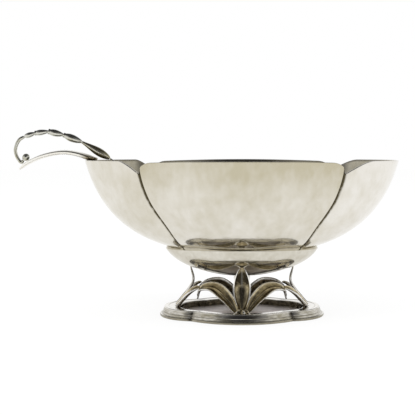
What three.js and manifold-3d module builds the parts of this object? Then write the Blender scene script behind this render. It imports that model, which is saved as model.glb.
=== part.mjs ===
// Four-lobed silver sauce boat on an openwork foot of leaves, with its ladle lying in it.
// Millimetres, +Z up. The boat stands on Z = 0, its length runs along X, and the
// handle end is at -X. While it is built, X = 0 is the middle of the bowl.

import * as THREE from 'three';
import { mergeVertices } from 'three/addons/utils/BufferGeometryUtils.js';
import Module from 'manifold-3d';

const wasm = await Module();
wasm.setup();

// Driving sizes

const seatGap = 0.3; // left for solder wherever two pieces meet

const bowl = {
  halfLength: 98.2,
  halfWidth: 62,
  depth: 59, // outside, from the rim to the bottom
  bottomFlatness: 52, // reach of the flat bottom before the side turns up
  bellyInset: 12.2, // how far the belly stays inside the rim
  bellyDrop: 45, // and how far under the rim it starts to turn in
  wall: 1.5,
  creaseX: 59.5,
  creaseY: 42.5,
  notchDepth: 7,
  notchRunOnSideLobe: 10,
  notchRunOnEndLobe: 19,
};

const dish = {
  halfLength: 48,
  halfWidth: 31,
  bottomHeight: 25.3,
  endDepth: 16.9, // from the rim to the bottom, at the ends
  sideDepth: 18.1, // and at the front and back, where the bowl rests on the rim
  bottomFlatness: 10,
  sideInset: 8,
  sideDrop: 13.2,
  wall: 1.2,
};

const foot = {
  halfLength: 51.5,
  halfWidth: 34,
  creaseX: 31,
  creaseY: 22.6,
  flangeHeight: 1.5,
  flangeStep: 1.6,
  coveHeight: 3,
  height: 5.9,
  moulding: 3.4, // width of the rounded upper step
  innerEdge: 11.6, // from the outside to the inner edge, at the ends
  innerDip: 0.4,
  floorLevel: 1.9, // top of the sunk floor
  wall: 1.4,
};

// Upright leaves: distances out from the foot's middle, and the waist's drop under the
// dish. The tips stay with the dish's edge.
const sideUpright = {
  width: 10.8,
  rootWidth: 3,
  trough: 2.3,
  rootTrough: 2.9,
  thickness: 1.2,
  rib: 1.1,
  rootOut: 28,
  waistOut: 20.2,
  tipOut: dish.halfWidth - 7.6,
  waistUnder: 4.3,
  fullestAt: 0.5, // share of the length
  pointedness: 0.75, // 1 draws both ends out, less keeps them blunt
};
const endUpright = {
  ...sideUpright,
  width: 6.4,
  trough: 0.8,
  rootTrough: 1.2,
  thickness: 1,
  rib: 0.4,
  rootOut: 40.8,
  waistOut: 30.6,
  tipOut: dish.halfLength - 15.4,
  waistUnder: 3,
};
const tipOverlap = 1.5; // how far a leaf runs up into the dish before it is cut to it
const rootOverlap = 0.8; // and down into the foot

// Arching leaves. Each passes its places aside from the middle of its sprig, out from
// the foot's middle and under the dish's bottom.
const archBlade = {
  rootWidth: 3.4,
  trough: 1.6,
  rootTrough: 1.8,
  thickness: 1.2,
  rib: 0.9,
  rootTilt: 50, // degrees that the blade leans out of level
  peakTilt: 25,
  fullestAt: 0.55,
  pointedness: 0.7,
};
const sideArch = {
  ...archBlade,
  width: 9,
  root: { aside: 2.6, out: 26.6 },
  knee: { aside: 9.8, out: 20, under: 10.5 },
  peak: { aside: 18, out: 13, under: 5.8 },
  shoulder: { aside: 25.6, out: 9, under: 7.4 },
  tip: { aside: 27.6, out: 8.6, under: 12.9 },
};
const endArch = {
  ...archBlade,
  width: 6.4,
  rootWidth: 2.6,
  root: { aside: 4, out: 40.6 },
  knee: { aside: 6.6, out: 36.8, under: 14.2 },
  peak: { aside: 9.2, out: 32.2, under: 9.4 },
  shoulder: { aside: 10.6, out: 28.6, under: 6.7 },
  tip: { aside: 11.4, out: 26.2, under: 5.6 },
};

const collar = { length: 8.6, width: 5.4, height: 2.2, lobes: 5, scallop: 0.16 };

const strap = {
  rootWidth: 15,
  tipWidth: 1.6,
  crown: 2.1,
  wall: 1.1,
  reach: 42.2, // how far the tip stands out from the rim
  tipDrop: 5.4, // under the rim
  rise: 6.4, // highest point of the arch over the rim
  riseAt: 13.8, // and how far out from the rim it is
  lap: 7, // length that lies over the rim into the bowl
};

// The ladle's handle is given by distances out from the bowl's left end and up from its rim.
const pods = {
  joints: [
    { out: 38.8, up: 14.8 },
    { out: 32.2, up: 16.9 },
    { out: 23.7, up: 18 },
    { out: 14.2, up: 15.8 },
    { out: 2.6, up: 11.4 },
    { out: -13.8, up: 2 },
  ], // between the pods, from the hook to the bowl
  heights: [3.4, 3.7, 4.4, 4.8, 5],
  widthToHeight: 1.25,
  nodeRadius: 0.85,
};

const hook = {
  thickness: 2.1,
  endThickness: 1.7,
  turn: { out: 6.7, up: 4.7 }, // from the ball's middle to where the hook turns round
  bottom: { out: 2.9, up: -3.3 }, // and to its lowest place
};
const bead = { radius: 2.4, fromStrapTip: 4.4 };

const ladleCup = {
  halfLength: 23,
  halfWidth: 20,
  depth: 15,
  wall: 1.2,
  bottomFlatness: 11,
  X: -12,
};
const neck = {
  width: 4,
  thickness: 2.2,
  tongueWidth: 8,
  tongueThickness: 1.6,
  sag: { out: -36.2, up: -15 }, // from the bowl's left end and rim, as the pods
};

// Solids

// A closed mesh through a row of rings with as many points each. The row ends in a
// single point or is capped flat, or it runs round into its first ring.
function loft(rings, runsRound = false) {
  const positions = [];
  const index = [];
  const starts = [];
  for (const ring of rings) {
    starts.push(positions.length / 3);
    for (const point of ring) positions.push(point.x, point.y, point.z);
  }
  const bridge = (a, b) => {
    const count = Math.max(rings[a].length, rings[b].length);
    for (let j = 0; j < count; j++) {
      const next = (j + 1) % count;
      if (rings[a].length === 1) {
        index.push(starts[a], starts[b] + next, starts[b] + j);
      } else if (rings[b].length === 1) {
        index.push(starts[a] + j, starts[a] + next, starts[b]);
      } else {
        index.push(starts[a] + j, starts[a] + next, starts[b] + next);
        index.push(starts[a] + j, starts[b] + next, starts[b] + j);
      }
    }
  };
  for (let i = 0; i + 1 < rings.length; i++) bridge(i, i + 1);
  if (runsRound) {
    bridge(rings.length - 1, 0);
  } else {
    for (const [end, reversed] of [[0, true], [rings.length - 1, false]]) {
      if (rings[end].length === 1) continue;
      const middle = new THREE.Vector3();
      for (const point of rings[end]) middle.addScaledVector(point, 1 / rings[end].length);
      const hub = positions.length / 3;
      positions.push(middle.x, middle.y, middle.z);
      for (let j = 0; j < rings[end].length; j++) {
        const here = starts[end] + j;
        const next = starts[end] + ((j + 1) % rings[end].length);
        if (reversed) index.push(hub, next, here);
        else index.push(hub, here, next);
      }
    }
  }
  const geometry = new THREE.BufferGeometry();
  geometry.setAttribute('position', new THREE.Float32BufferAttribute(positions, 3));
  geometry.setIndex(index);
  return facingOut(geometry);
}

function signedVolume(geometry) {
  const position = geometry.getAttribute('position');
  const corner = [0, 1, 2].map(() => new THREE.Vector3());
  let volume = 0;
  for (let i = 0; i < geometry.index.count; i += 3) {
    corner.forEach((v, k) => v.fromBufferAttribute(position, geometry.index.getX(i + k)));
    volume += corner[0].dot(corner[1].clone().cross(corner[2])) / 6;
  }
  return volume;
}

function facingOut(geometry) {
  if (signedVolume(geometry) < 0) {
    const index = geometry.index.array;
    for (let i = 0; i < index.length; i += 3) [index[i + 1], index[i + 2]] = [index[i + 2], index[i + 1]];
  }
  return geometry;
}

function toSolid(geometry) {
  const bare = geometry.clone();
  bare.deleteAttribute('normal');
  bare.deleteAttribute('uv');
  const merged = mergeVertices(bare);
  return new wasm.Manifold(
    new wasm.Mesh({
      numProp: 3,
      vertProperties: new Float32Array(merged.getAttribute('position').array),
      triVerts: new Uint32Array(merged.index.array),
    }),
  );
}

// The main body that is left of a piece once each of the others is cut out of it.
function cutBy(geometry, others) {
  let solid = toSolid(geometry);
  for (const other of others) solid = solid.subtract(toSolid(other));
  const bodies = solid.decompose().sort((a, b) => b.volume() - a.volume());
  const mesh = bodies[0].getMesh();
  const cut = new THREE.BufferGeometry();
  cut.setAttribute('position', new THREE.Float32BufferAttribute(mesh.vertProperties, 3));
  cut.setIndex([...mesh.triVerts]);
  return cut;
}

// Outlines: points round the plan with their outward direction, at full size

// Four lobes that meet in four creases. Each lobe is an arc through its two creases
// and its own crown, with its points closer together towards the creases.
function lobedOutline(size, sideSteps, endSteps) {
  const crowding = 0.7;
  const outline = [];
  const addLobe = (crownAngle, halfChord, rise, crown, steps, lobe) => {
    const radius = (halfChord ** 2 + rise ** 2) / (2 * rise);
    const halfAngle = 2 * Math.atan2(rise, halfChord);
    for (let i = 0; i < steps; i++) {
      const even = (2 * i) / steps - 1;
      const spread = even + (crowding * Math.sin(Math.PI * even)) / Math.PI;
      const angle = crownAngle + spread * halfAngle;
      const middle = crown - radius;
      const isCrease = i === 0;
      outline.push({
        x: middle * Math.cos(crownAngle) + radius * Math.cos(angle),
        y: middle * Math.sin(crownAngle) + radius * Math.sin(angle),
        nx: isCrease ? 0 : Math.cos(angle),
        ny: isCrease ? 0 : Math.sin(angle),
        fromCrease: (1 - Math.abs(spread)) * halfAngle * radius,
        lobe,
      });
    }
  };
  const endRise = size.halfLength - size.creaseX;
  const sideRise = size.halfWidth - size.creaseY;
  addLobe(0, size.creaseY, endRise, size.halfLength, endSteps, 'end');
  addLobe(Math.PI / 2, size.creaseX, sideRise, size.halfWidth, sideSteps, 'side');
  addLobe(Math.PI, size.creaseY, endRise, size.halfLength, endSteps, 'end');
  addLobe((3 * Math.PI) / 2, size.creaseX, sideRise, size.halfWidth, sideSteps, 'side');
  // At a crease the wall faces straight out, half way between its two lobes.
  outline.forEach((point, i) => {
    if (point.nx !== 0 || point.ny !== 0) return;
    const before = outline[(i + outline.length - 1) % outline.length];
    const after = outline[i + 1];
    const length = Math.hypot(before.nx + after.nx, before.ny + after.ny);
    point.nx = (before.nx + after.nx) / length;
    point.ny = (before.ny + after.ny) / length;
  });
  return outline;
}

function ovalOutline(size, steps) {
  return Array.from({ length: steps }, (_, i) => {
    const angle = (2 * Math.PI * i) / steps;
    const nx = Math.cos(angle) / size.halfLength;
    const ny = Math.sin(angle) / size.halfWidth;
    const length = Math.hypot(nx, ny);
    return {
      x: size.halfLength * Math.cos(angle),
      y: size.halfWidth * Math.sin(angle),
      nx: nx / length,
      ny: ny / length,
      sideways: Math.sin(angle) ** 2,
    };
  });
}

// The half profile of a bowl, from the middle of its bottom to its rim. Its belly stays
// inside the rim by the inset, and turns in at the drop under it.
function bowlProfile(reach, bottom, rim, bottomFlatness, inset, drop) {
  return new THREE.CubicBezierCurve(
    new THREE.Vector2(0, bottom),
    new THREE.Vector2(bottomFlatness, bottom),
    new THREE.Vector2(reach - inset, rim - drop),
    new THREE.Vector2(reach, rim),
  );
}

// Height of a profile at a distance from the middle.
function profileHeight(profile, distance) {
  return profile.getPoint(placeWhere((place) => profile.getPoint(place).x, distance)).y;
}

// The first place on a rising curve where the measure reaches a value.
function placeWhere(measure, value) {
  let low = 0;
  let high = 1;
  const halvings = 30;
  for (let i = 0; i < halvings; i++) {
    const middle = (low + high) / 2;
    if (measure(middle) < value) low = middle;
    else high = middle;
  }
  return high;
}

// A bowl's rings from the middle of its bottom up to its rim. The outline shrinks down
// the profile, rimAt gives the rim's height at an outline point, lift stretches the
// heights there, and depth moves the surface inwards along its own normal.
function bowlRings(outline, profile, { rows, rimAt, lift = () => 0 }, depth) {
  const fullLength = profile.v3.x;
  const bottom = profile.v0.y;
  const surface = (point, place) => {
    const p = profile.getPoint(place);
    const slope = profile.getTangent(place);
    const scale = p.x / fullLength;
    const stretch = 1 + lift(point);
    const rise = slope.y * stretch;
    const run = (slope.x / fullLength) * (point.x * point.nx + point.y * point.ny);
    const normal = new THREE.Vector3(rise * point.nx, rise * point.ny, -run).normalize();
    return new THREE.Vector3(point.x * scale, point.y * scale, bottom + (p.y - bottom) * stretch)
      .addScaledVector(normal, -depth);
  };
  const tops = outline.map((point) => placeWhere((place) => surface(point, place).z, rimAt(point)));
  const rings = [[surface(outline[0], 0)]];
  for (let row = 1; row <= rows; row++) {
    rings.push(outline.map((point, i) => surface(point, (tops[i] * row) / rows)));
  }
  return rings;
}

// A thin bowl whose wall lies inside its profile. Swell makes it thicker on all sides,
// for cutting a neighbour to it.
function shell(outline, profile, form, wall, swell = 0) {
  const swollen = { ...form, rimAt: (point) => form.rimAt(point) + swell };
  const outside = bowlRings(outline, profile, swollen, -swell);
  const inside = bowlRings(outline, profile, swollen, wall + swell);
  return loft([...outside, ...inside.reverse()]);
}

// A bowl filled up to its rim and swollen, for cutting a neighbour to its outside.
function filledShell(outline, profile, form, swell) {
  const rings = bowlRings(outline, profile, form, -swell);
  const rim = Math.max(...outline.map((point) => form.rimAt(point)));
  return loft([...rings, [new THREE.Vector3(0, 0, rim)]]);
}

// A bar along a curve. Its section at each step is given in across and up distances.
function bar(curve, acrossAt, sectionAt, steps) {
  const rings = [];
  for (let i = 0; i <= steps; i++) {
    const t = i / steps;
    const middle = curve.getPointAt(t);
    const tangent = curve.getTangentAt(t);
    const across = acrossAt(t, tangent);
    const up = tangent.clone().cross(across).normalize();
    rings.push(sectionAt(t).map(([a, u]) =>
      middle.clone().addScaledVector(across, a).addScaledVector(up, u)));
  }
  return loft(rings);
}

function ovalSection(width, height, sides) {
  return Array.from({ length: sides }, (_, i) => {
    const angle = (2 * Math.PI * i) / sides;
    return [(Math.cos(angle) * width) / 2, (Math.sin(angle) * height) / 2];
  });
}

const crossways = new THREE.Vector3(0, 1, 0);
const inPlane = (x, z) => new THREE.Vector3(x, 0, z);

// The dish under the bowl. Its rim meets the bowl at the front and back and stands
// free at the ends.

const dishEndRim = dish.bottomHeight + dish.endDepth;
const dishSideRim = dish.bottomHeight + dish.sideDepth;
const dishOutline = ovalOutline(dish, 44);
const dishCurve = bowlProfile(
  dish.halfLength, dish.bottomHeight, dishEndRim, dish.bottomFlatness, dish.sideInset, dish.sideDrop);
const dishSideLift = dish.sideDepth / dish.endDepth - 1;
const dishForm = {
  rows: 6,
  rimAt: (point) => dishEndRim + (dishSideRim - dishEndRim) * point.sideways,
  lift: (point) => dishSideLift * point.sideways,
};

function dishShell() {
  return shell(dishOutline, dishCurve, dishForm, dish.wall);
}

// Height of the dish's outside at a distance from the middle, towards an end or a side.
function dishHeight(distance, towardsSide) {
  const along = towardsSide ? (distance / dish.halfWidth) * dish.halfLength : distance;
  const rise = profileHeight(dishCurve, along) - dish.bottomHeight;
  return dish.bottomHeight + rise * (towardsSide ? 1 + dishSideLift : 1);
}

// The bowl. It rests with its sides on the dish's rim, which sets its height.

const bowlOutline = lobedOutline(bowl, 20, 16);
const bowlCurveAt = (bottom) => bowlProfile(
  bowl.halfLength, bottom, bottom + bowl.depth, bowl.bottomFlatness, bowl.bellyInset, bowl.bellyDrop);
const restAlong = ((dish.halfWidth - dish.wall) / bowl.halfWidth) * bowl.halfLength;
const bowlBottom = dishSideRim + seatGap - profileHeight(bowlCurveAt(0), restAlong);
const bowlRim = bowlBottom + bowl.depth;
const bowlCurve = bowlCurveAt(bowlBottom);

// The rim is flat. Into the notch at each crease it rounds over on the side lobe, and
// slopes down on the end lobe.
function bowlRimAt(point) {
  const onSideLobe = point.lobe === 'side';
  const run = onSideLobe ? bowl.notchRunOnSideLobe : bowl.notchRunOnEndLobe;
  const into = Math.max(0, 1 - point.fromCrease / run);
  const share = onSideLobe ? 1 - Math.sqrt(1 - into ** 2) : into ** 1.5;
  return bowlRim - bowl.notchDepth * share;
}

function bowlShell(swell) {
  return shell(bowlOutline, bowlCurve, { rows: 10, rimAt: bowlRimAt }, bowl.wall, swell);
}

// The foot: a stepped moulding, hollow underneath, round a sunk floor

const footTop = foot.height - foot.innerDip; // level of the ring's inner edge
const floorUnderside = foot.floorLevel - foot.wall;

function footRing() {
  const outline = lobedOutline(foot, 12, 10);
  const outer = foot.halfLength;
  const upper = outer - foot.flangeStep;
  const inner = outer - foot.innerEdge;
  const section = [
    [outer - 2 * foot.wall, 0],
    [outer, 0],
    [outer, foot.flangeHeight * 0.7],
    [outer - foot.flangeStep * 0.4, foot.flangeHeight],
    [upper, foot.flangeHeight],
    [upper - foot.flangeStep * 0.2, foot.coveHeight],
    [upper, (foot.coveHeight + foot.height) / 2],
    [upper - foot.moulding * 0.3, foot.height - foot.innerDip / 2],
    [upper - foot.moulding, foot.height],
    [inner, footTop],
    [inner, floorUnderside],
    [inner + foot.wall, floorUnderside],
    [inner + foot.wall, footTop - foot.wall],
    [upper - foot.moulding, foot.height - foot.wall],
    [outer - 2 * foot.wall, foot.coveHeight],
  ];
  const rings = section.map(([r, z]) =>
    outline.map((point) => new THREE.Vector3((point.x * r) / outer, (point.y * r) / outer, z)));
  return loft(rings, true);
}

function footFloor() {
  const scale = (foot.halfLength - foot.innerEdge - seatGap) / foot.halfLength;
  const outline = lobedOutline(foot, 12, 10);
  const plan = new THREE.Shape(outline.map((point) =>
    new THREE.Vector2((point.x - point.nx * seatGap) * scale, (point.y - point.ny * seatGap) * scale)));
  const plate = new THREE.ExtrudeGeometry(plan, { depth: foot.wall, bevelEnabled: false });
  plate.translate(0, 0, floorUnderside);
  return plate;
}

// The leaves of the foot

// Section of a leaf: a trough that opens outwards with a rib along its bottom.
function leafSection(width, trough, rib, thickness, swell) {
  const half = width / 2 + swell;
  const faceStops = [-1, -0.7, -0.25, 0, 0.25, 0.7, 1];
  const backStops = [1, 0.55, 0, -0.55, -1];
  const face = faceStops.map((v) => {
    const ribHere = rib * Math.max(0, 1 - Math.abs(v) / 0.25);
    return [v * half, trough * v * v + ribHere + swell];
  });
  const back = backStops.map((v) => {
    const edge = Math.abs(v) === 1 ? 0.6 : 1;
    return [v * half, trough * v * v - thickness * edge - swell];
  });
  return [...face, ...back];
}

// Widths and depths of a leaf run from its root through its fullest part to its tip.
function leafBar(curve, size, acrossAt, swell) {
  const tipWidth = 0.8;
  const steps = 12;
  const sectionAt = (t) => {
    const along = Math.pow(t, Math.log(0.5) / Math.log(size.fullestAt));
    const opened = Math.pow(Math.max(0, Math.sin(Math.PI * along)), size.pointedness);
    const base = size.rootWidth + (tipWidth - size.rootWidth) * t;
    const width = base + (size.width - base) * opened;
    const trough = size.rootTrough * (1 - t) * (1 - opened) + size.trough * opened;
    const thinning = 1 - 0.5 * t * t;
    return leafSection(width, trough, size.rib * opened, size.thickness * thinning, swell);
  };
  return bar(curve, acrossAt, sectionAt, steps);
}

// An upright leaf stands at the given angle round the foot.
function uprightBlank(angle, leaf, towardsSide, rootHeight, swell = 0) {
  const out = new THREE.Vector3(Math.cos(angle), Math.sin(angle), 0);
  const at = (distance, height) => out.clone().multiplyScalar(distance).setZ(height);
  const curve = new THREE.CatmullRomCurve3([
    at(leaf.rootOut, rootHeight - rootOverlap),
    at(leaf.waistOut, dish.bottomHeight - leaf.waistUnder),
    at(leaf.tipOut, dishHeight(leaf.tipOut, towardsSide) + tipOverlap),
  ]);
  const across = new THREE.Vector3(out.y, -out.x, 0);
  return leafBar(curve, leaf, () => across, swell);
}

// An arching leaf rises from its root, bends over aside from its sprig and comes down.
function archBlank(out, aside, leaf, rootHeight, swell = 0) {
  const at = (place) => out.clone().multiplyScalar(place.out)
    .addScaledVector(aside, place.aside)
    .setZ(place === leaf.root ? rootHeight - rootOverlap : dish.bottomHeight - place.under);
  const places = [leaf.root, leaf.knee, leaf.peak, leaf.shoulder, leaf.tip];
  const curve = new THREE.CatmullRomCurve3(places.map(at));
  const hand = aside.clone().cross(out).z;
  const acrossAt = (t, tangent) => {
    const leaning = leaf.rootTilt + (leaf.peakTilt - leaf.rootTilt) * Math.min(1, t * 1.6);
    const tilt = THREE.MathUtils.degToRad(leaning);
    const level = new THREE.Vector3(-tangent.y, tangent.x, 0).normalize();
    if (level.dot(out) < 0) level.negate();
    const across = level.multiplyScalar(Math.cos(tilt)).add(new THREE.Vector3(0, 0, -Math.sin(tilt)));
    return across.addScaledVector(tangent, -across.dot(tangent)).normalize().multiplyScalar(hand);
  };
  return leafBar(curve, leaf, acrossAt, swell);
}

// A low scalloped dome on the ring where the leaves of one side are rooted.
function collarDome(sideY, swell = 0) {
  const rings = [];
  const rows = 4;
  const around = 20;
  for (let row = 0; row < rows; row++) {
    const lean = (row / rows) * (Math.PI / 2);
    rings.push(Array.from({ length: around }, (_, i) => {
      const angle = (2 * Math.PI * i) / around;
      const reach = (1 + collar.scallop * Math.cos(collar.lobes * angle)) * Math.cos(lean);
      return new THREE.Vector3(
        (collar.length / 2 + swell) * reach * Math.cos(angle),
        sideY * sideUpright.rootOut + (collar.width / 2 + swell) * reach * Math.sin(angle),
        foot.height + seatGap - swell + (collar.height + 2 * swell) * Math.sin(lean),
      );
    }));
  }
  const top = foot.height + seatGap + collar.height + swell;
  rings.push([new THREE.Vector3(0, sideY * sideUpright.rootOut, top)]);
  return loft(rings);
}

// The half space that lies away from a direction, and half the gap besides.
function otherHalf(direction) {
  const size = 2 * bowl.halfLength;
  const block = new THREE.BoxGeometry(size, size, size);
  const shift = direction.clone().multiplyScalar(seatGap / 2 - size / 2);
  return block.translate(shift.x, shift.y, shift.z);
}

// Four sprigs carry the dish: an upright leaf with an arching one on each side of it.
function makeLeaves() {
  const ringTop = foot.height + seatGap;
  const edgeTop = footTop + seatGap;
  const quarter = Math.PI / 2;
  const uprights = {
    upright_leaf_front: [-quarter, sideUpright, true, ringTop],
    upright_leaf_back: [quarter, sideUpright, true, ringTop],
    upright_leaf_left: [2 * quarter, endUpright, false, edgeTop],
    upright_leaf_right: [0, endUpright, false, edgeTop],
  };
  const ends = { left: new THREE.Vector3(-1, 0, 0), right: new THREE.Vector3(1, 0, 0) };
  const sides = { front: new THREE.Vector3(0, -1, 0), back: new THREE.Vector3(0, 1, 0) };
  const collars = { root_collar_front: -1, root_collar_back: 1 };
  const below = new THREE.BoxGeometry(2 * bowl.halfLength, 2 * bowl.halfWidth, foot.height)
    .translate(0, 0, edgeTop - foot.height / 2);
  const dishBody = filledShell(dishOutline, dishCurve, dishForm, seatGap);
  const collarBodies = Object.values(collars).map((side) => collarDome(side, seatGap));
  const uprightBodies = Object.values(uprights).map((upright) => uprightBlank(...upright, seatGap));
  const leaves = {};
  for (const [name, upright] of Object.entries(uprights)) {
    leaves[name] = cutBy(uprightBlank(...upright), [dishBody, ...collarBodies, below]);
  }
  for (const [side, out] of Object.entries(sides)) {
    for (const [end, aside] of Object.entries(ends)) {
      const sideLeaf = archBlank(out, aside, sideArch, ringTop);
      leaves[`arch_leaf_${side}_${end}`] =
        cutBy(sideLeaf, [...uprightBodies, ...collarBodies, below, otherHalf(aside)]);
      const neighbour = archBlank(out, aside, sideArch, ringTop, seatGap);
      const endLeaf = archBlank(aside, out, endArch, edgeTop);
      leaves[`arch_leaf_${end}_${side}`] =
        cutBy(endLeaf, [...uprightBodies, neighbour, dishBody, below, otherHalf(out)]);
    }
  }
  for (const [name, side] of Object.entries(collars)) leaves[name] = collarDome(side);
  return leaves;
}

// The strap handle: crowned across, arched along, its tip turned down

function strapHandle() {
  const rim = -bowl.halfLength;
  const top = bowlRim;
  const curve = new THREE.CatmullRomCurve3([
    inPlane(rim + strap.lap, top + strap.wall + seatGap),
    inPlane(rim - 0.25 * strap.riseAt, top + 0.8 * strap.rise),
    inPlane(rim - strap.riseAt, top + strap.rise),
    inPlane(rim - strap.reach * 0.66, top + strap.rise * 0.56),
    inPlane(rim - strap.reach * 0.9, top - strap.tipDrop * 0.28),
    inPlane(rim - strap.reach, top - strap.tipDrop),
  ]);
  const stops = 6;
  const sectionAt = (t) => {
    const taper = Math.sqrt(Math.max(0, 1 - t ** 1.6));
    const rounding = Math.min(1, Math.sqrt(t * 6) + 0.35);
    const half = (strap.tipWidth + (strap.rootWidth - strap.tipWidth) * taper * rounding) / 2;
    const crown = (strap.crown * 2 * half) / strap.rootWidth;
    const wall = strap.wall * (0.5 + 0.5 * taper);
    const line = (side, drop) => Array.from({ length: stops + 1 }, (_, i) => {
      const v = side * ((2 * i) / stops - 1);
      return [v * half, -crown * v * v - drop];
    });
    return [...line(1, 0), ...line(-1, wall)];
  };
  const across = crossways.clone().negate(); // the curve runs towards -X, so the crown faces up
  return cutBy(bar(curve, () => across, sectionAt, 20), [bowlShell(seatGap)]);
}

// The ladle

const overRim = ({ out, up }) => inPlane(-bowl.halfLength - out, bowlRim + up);
const podJoints = pods.joints.map(overRim);

const cupBottom = profileHeight(bowlCurve, Math.abs(ladleCup.X)) + bowl.wall + seatGap;
const cupRim = cupBottom + ladleCup.depth;
const cupOutline = ovalOutline(ladleCup, 28);
const cupCurve = bowlProfile(
  ladleCup.halfLength, cupBottom, cupRim, ladleCup.bottomFlatness, 0, ladleCup.depth * 0.6);
const cupForm = { rows: 5, rimAt: () => cupRim };

function cupShell() {
  return shell(cupOutline, cupCurve, cupForm, ladleCup.wall).translate(ladleCup.X, 0, 0);
}

// The neck runs down from the last pod, and its flat tongue laps the cup under its rim.
function ladleNeck() {
  const start = podJoints[podJoints.length - 1];
  const cupEnd = ladleCup.X - ladleCup.halfLength;
  const curve = new THREE.CatmullRomCurve3([
    inPlane(start.x + seatGap, start.z - seatGap / 2),
    overRim(neck.sag),
    inPlane(cupEnd - neck.tongueThickness, cupRim),
    inPlane(cupEnd + ladleCup.depth / 4, cupRim - ladleCup.depth * 0.55),
  ]);
  const sectionAt = (t) => {
    const spread = t ** 4;
    const fullness = Math.min(1, 0.45 + 4 * t);
    const width = (neck.width + (neck.tongueWidth - neck.width) * spread) * fullness;
    const thickness = (neck.thickness + (neck.tongueThickness - neck.thickness) * spread) * fullness;
    return ovalSection(width, thickness, 10);
  };
  const cupBody = filledShell(cupOutline, cupCurve, cupForm, seatGap).translate(ladleCup.X, 0, 0);
  return cutBy(bar(curve, () => crossways, sectionAt, 22), [cupBody]);
}

// One pod: a pair of cupped leaves, pointed at both ends, with a seam round its sides.
function leafPod(from, to, height) {
  const along = to.clone().sub(from).normalize();
  const start = from.clone().addScaledVector(along, seatGap / 2);
  const end = to.clone().addScaledVector(along, -seatGap / 2);
  const fatness = 0.8;
  const sectionAt = (t) => {
    const swelling = Math.pow(Math.sin(Math.PI * t), fatness);
    const node = 2 * pods.nodeRadius;
    const tall = node + (height - node) * swelling;
    const wide = node + (height * pods.widthToHeight - node) * swelling;
    return ovalSection(wide, tall, 12);
  };
  return bar(new THREE.LineCurve3(start, end), () => crossways, sectionAt, 9);
}

// The ball rests on the strap: its lowest safe height over all points of the strap.
function beadCentre(strapGeometry) {
  const position = strapGeometry.getAttribute('position');
  const x = -bowl.halfLength - strap.reach + bead.fromStrapTip;
  const reach = bead.radius + seatGap;
  let height = bowlRim - strap.tipDrop;
  for (let i = 0; i < position.count; i++) {
    const flat = (position.getX(i) - x) ** 2 + position.getY(i) ** 2;
    if (flat < reach ** 2) height = Math.max(height, position.getZ(i) + Math.sqrt(reach ** 2 - flat));
  }
  return inPlane(x, height);
}

function ladleBead(centre) {
  const ball = new THREE.SphereGeometry(bead.radius, 16, 10);
  return ball.translate(centre.x, centre.y, centre.z);
}

// The tendril leaves the first pod, turns round in a hook and ends at the ball.
function ladleTendril(ball) {
  const start = podJoints[0];
  const turn = inPlane(ball.x - hook.turn.out, ball.z + hook.turn.up);
  const bottom = inPlane(ball.x - hook.bottom.out, ball.z + hook.bottom.up);
  const seat = bottom.clone().sub(ball).normalize();
  const curve = new THREE.CatmullRomCurve3([
    inPlane(start.x - seatGap, start.z - seatGap / 2),
    inPlane(start.x + (turn.x - start.x) * 0.6, start.z - 2.3),
    turn,
    inPlane(turn.x + 1.2, (turn.z + bottom.z) / 2 - 0.8),
    bottom,
    ball.clone().addScaledVector(seat, bead.radius + seatGap),
  ]);
  const sectionAt = (t) => {
    const taper = Math.min(1, 0.75 + 3 * t);
    const across = (hook.thickness + (hook.endThickness - hook.thickness) * t) * taper;
    return ovalSection(across, across, 10);
  };
  return bar(curve, () => crossways, sectionAt, 22);
}

// The finished object

const finishes = {
  bowl: { color: 0xd6d3c8, roughness: 0.24, metalness: 1 },
  dish: { color: 0xc9c4b6, roughness: 0.2, metalness: 1 },
  foot: { color: 0xb0aa98, roughness: 0.22, metalness: 1 },
  leaf: { color: 0x9a9078, roughness: 0.25, metalness: 1 },
  floor: { color: 0xb9b2b6, roughness: 0.3, metalness: 1 },
  strap: { color: 0xd2cfc4, roughness: 0.24, metalness: 1 },
  ladle: { color: 0x8f8f80, roughness: 0.25, metalness: 1 },
  cup: { color: 0xcac7bb, roughness: 0.22, metalness: 1 },
};

const assembly = new THREE.Group();

function add(name, geometry, finish) {
  const mesh = new THREE.Mesh(geometry, new THREE.MeshStandardMaterial(finishes[finish]));
  mesh.name = name;
  assembly.add(mesh);
}

const strapGeometry = strapHandle();
const ballCentre = beadCentre(strapGeometry);

add('bowl', bowlShell(0), 'bowl');
add('under_dish', dishShell(), 'dish');
add('foot_ring', footRing(), 'foot');
add('foot_floor', footFloor(), 'floor');
for (const [name, geometry] of Object.entries(makeLeaves())) add(name, geometry, 'leaf');
add('strap_handle', strapGeometry, 'strap');
add('ladle_cup', cupShell(), 'cup');
add('ladle_neck', ladleNeck(), 'cup');
pods.heights.forEach((height, i) => {
  add(`leaf_pod_${i + 1}`, leafPod(podJoints[i], podJoints[i + 1], height), 'ladle');
});
add('ladle_tendril', ladleTendril(ballCentre), 'ladle');
add('ladle_bead', ladleBead(ballCentre), 'ladle');

// The origin is under the middle of the whole length, handle and ladle included.
const extent = new THREE.Box3().setFromObject(assembly);
assembly.position.x = -(extent.min.x + extent.max.x) / 2;

const sauceBoat = new THREE.Group();
sauceBoat.add(assembly);

export default sauceBoat;
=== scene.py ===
# %% [markdown]
# A silver sauce boat with its ladle: a four-lobed bowl in a shallow dish, on leaves that
# stand on a stepped foot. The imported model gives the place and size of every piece. This
# file makes the smooth, worn silver that shows.
#
# It goes piece by piece: first how the real piece is made and finished, then one way to
# make it here.

# %% Load the fixed frame
import math

import bpy
import numpy as np
from mathutils import Matrix, Vector
from mathutils.bvhtree import BVHTree


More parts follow.
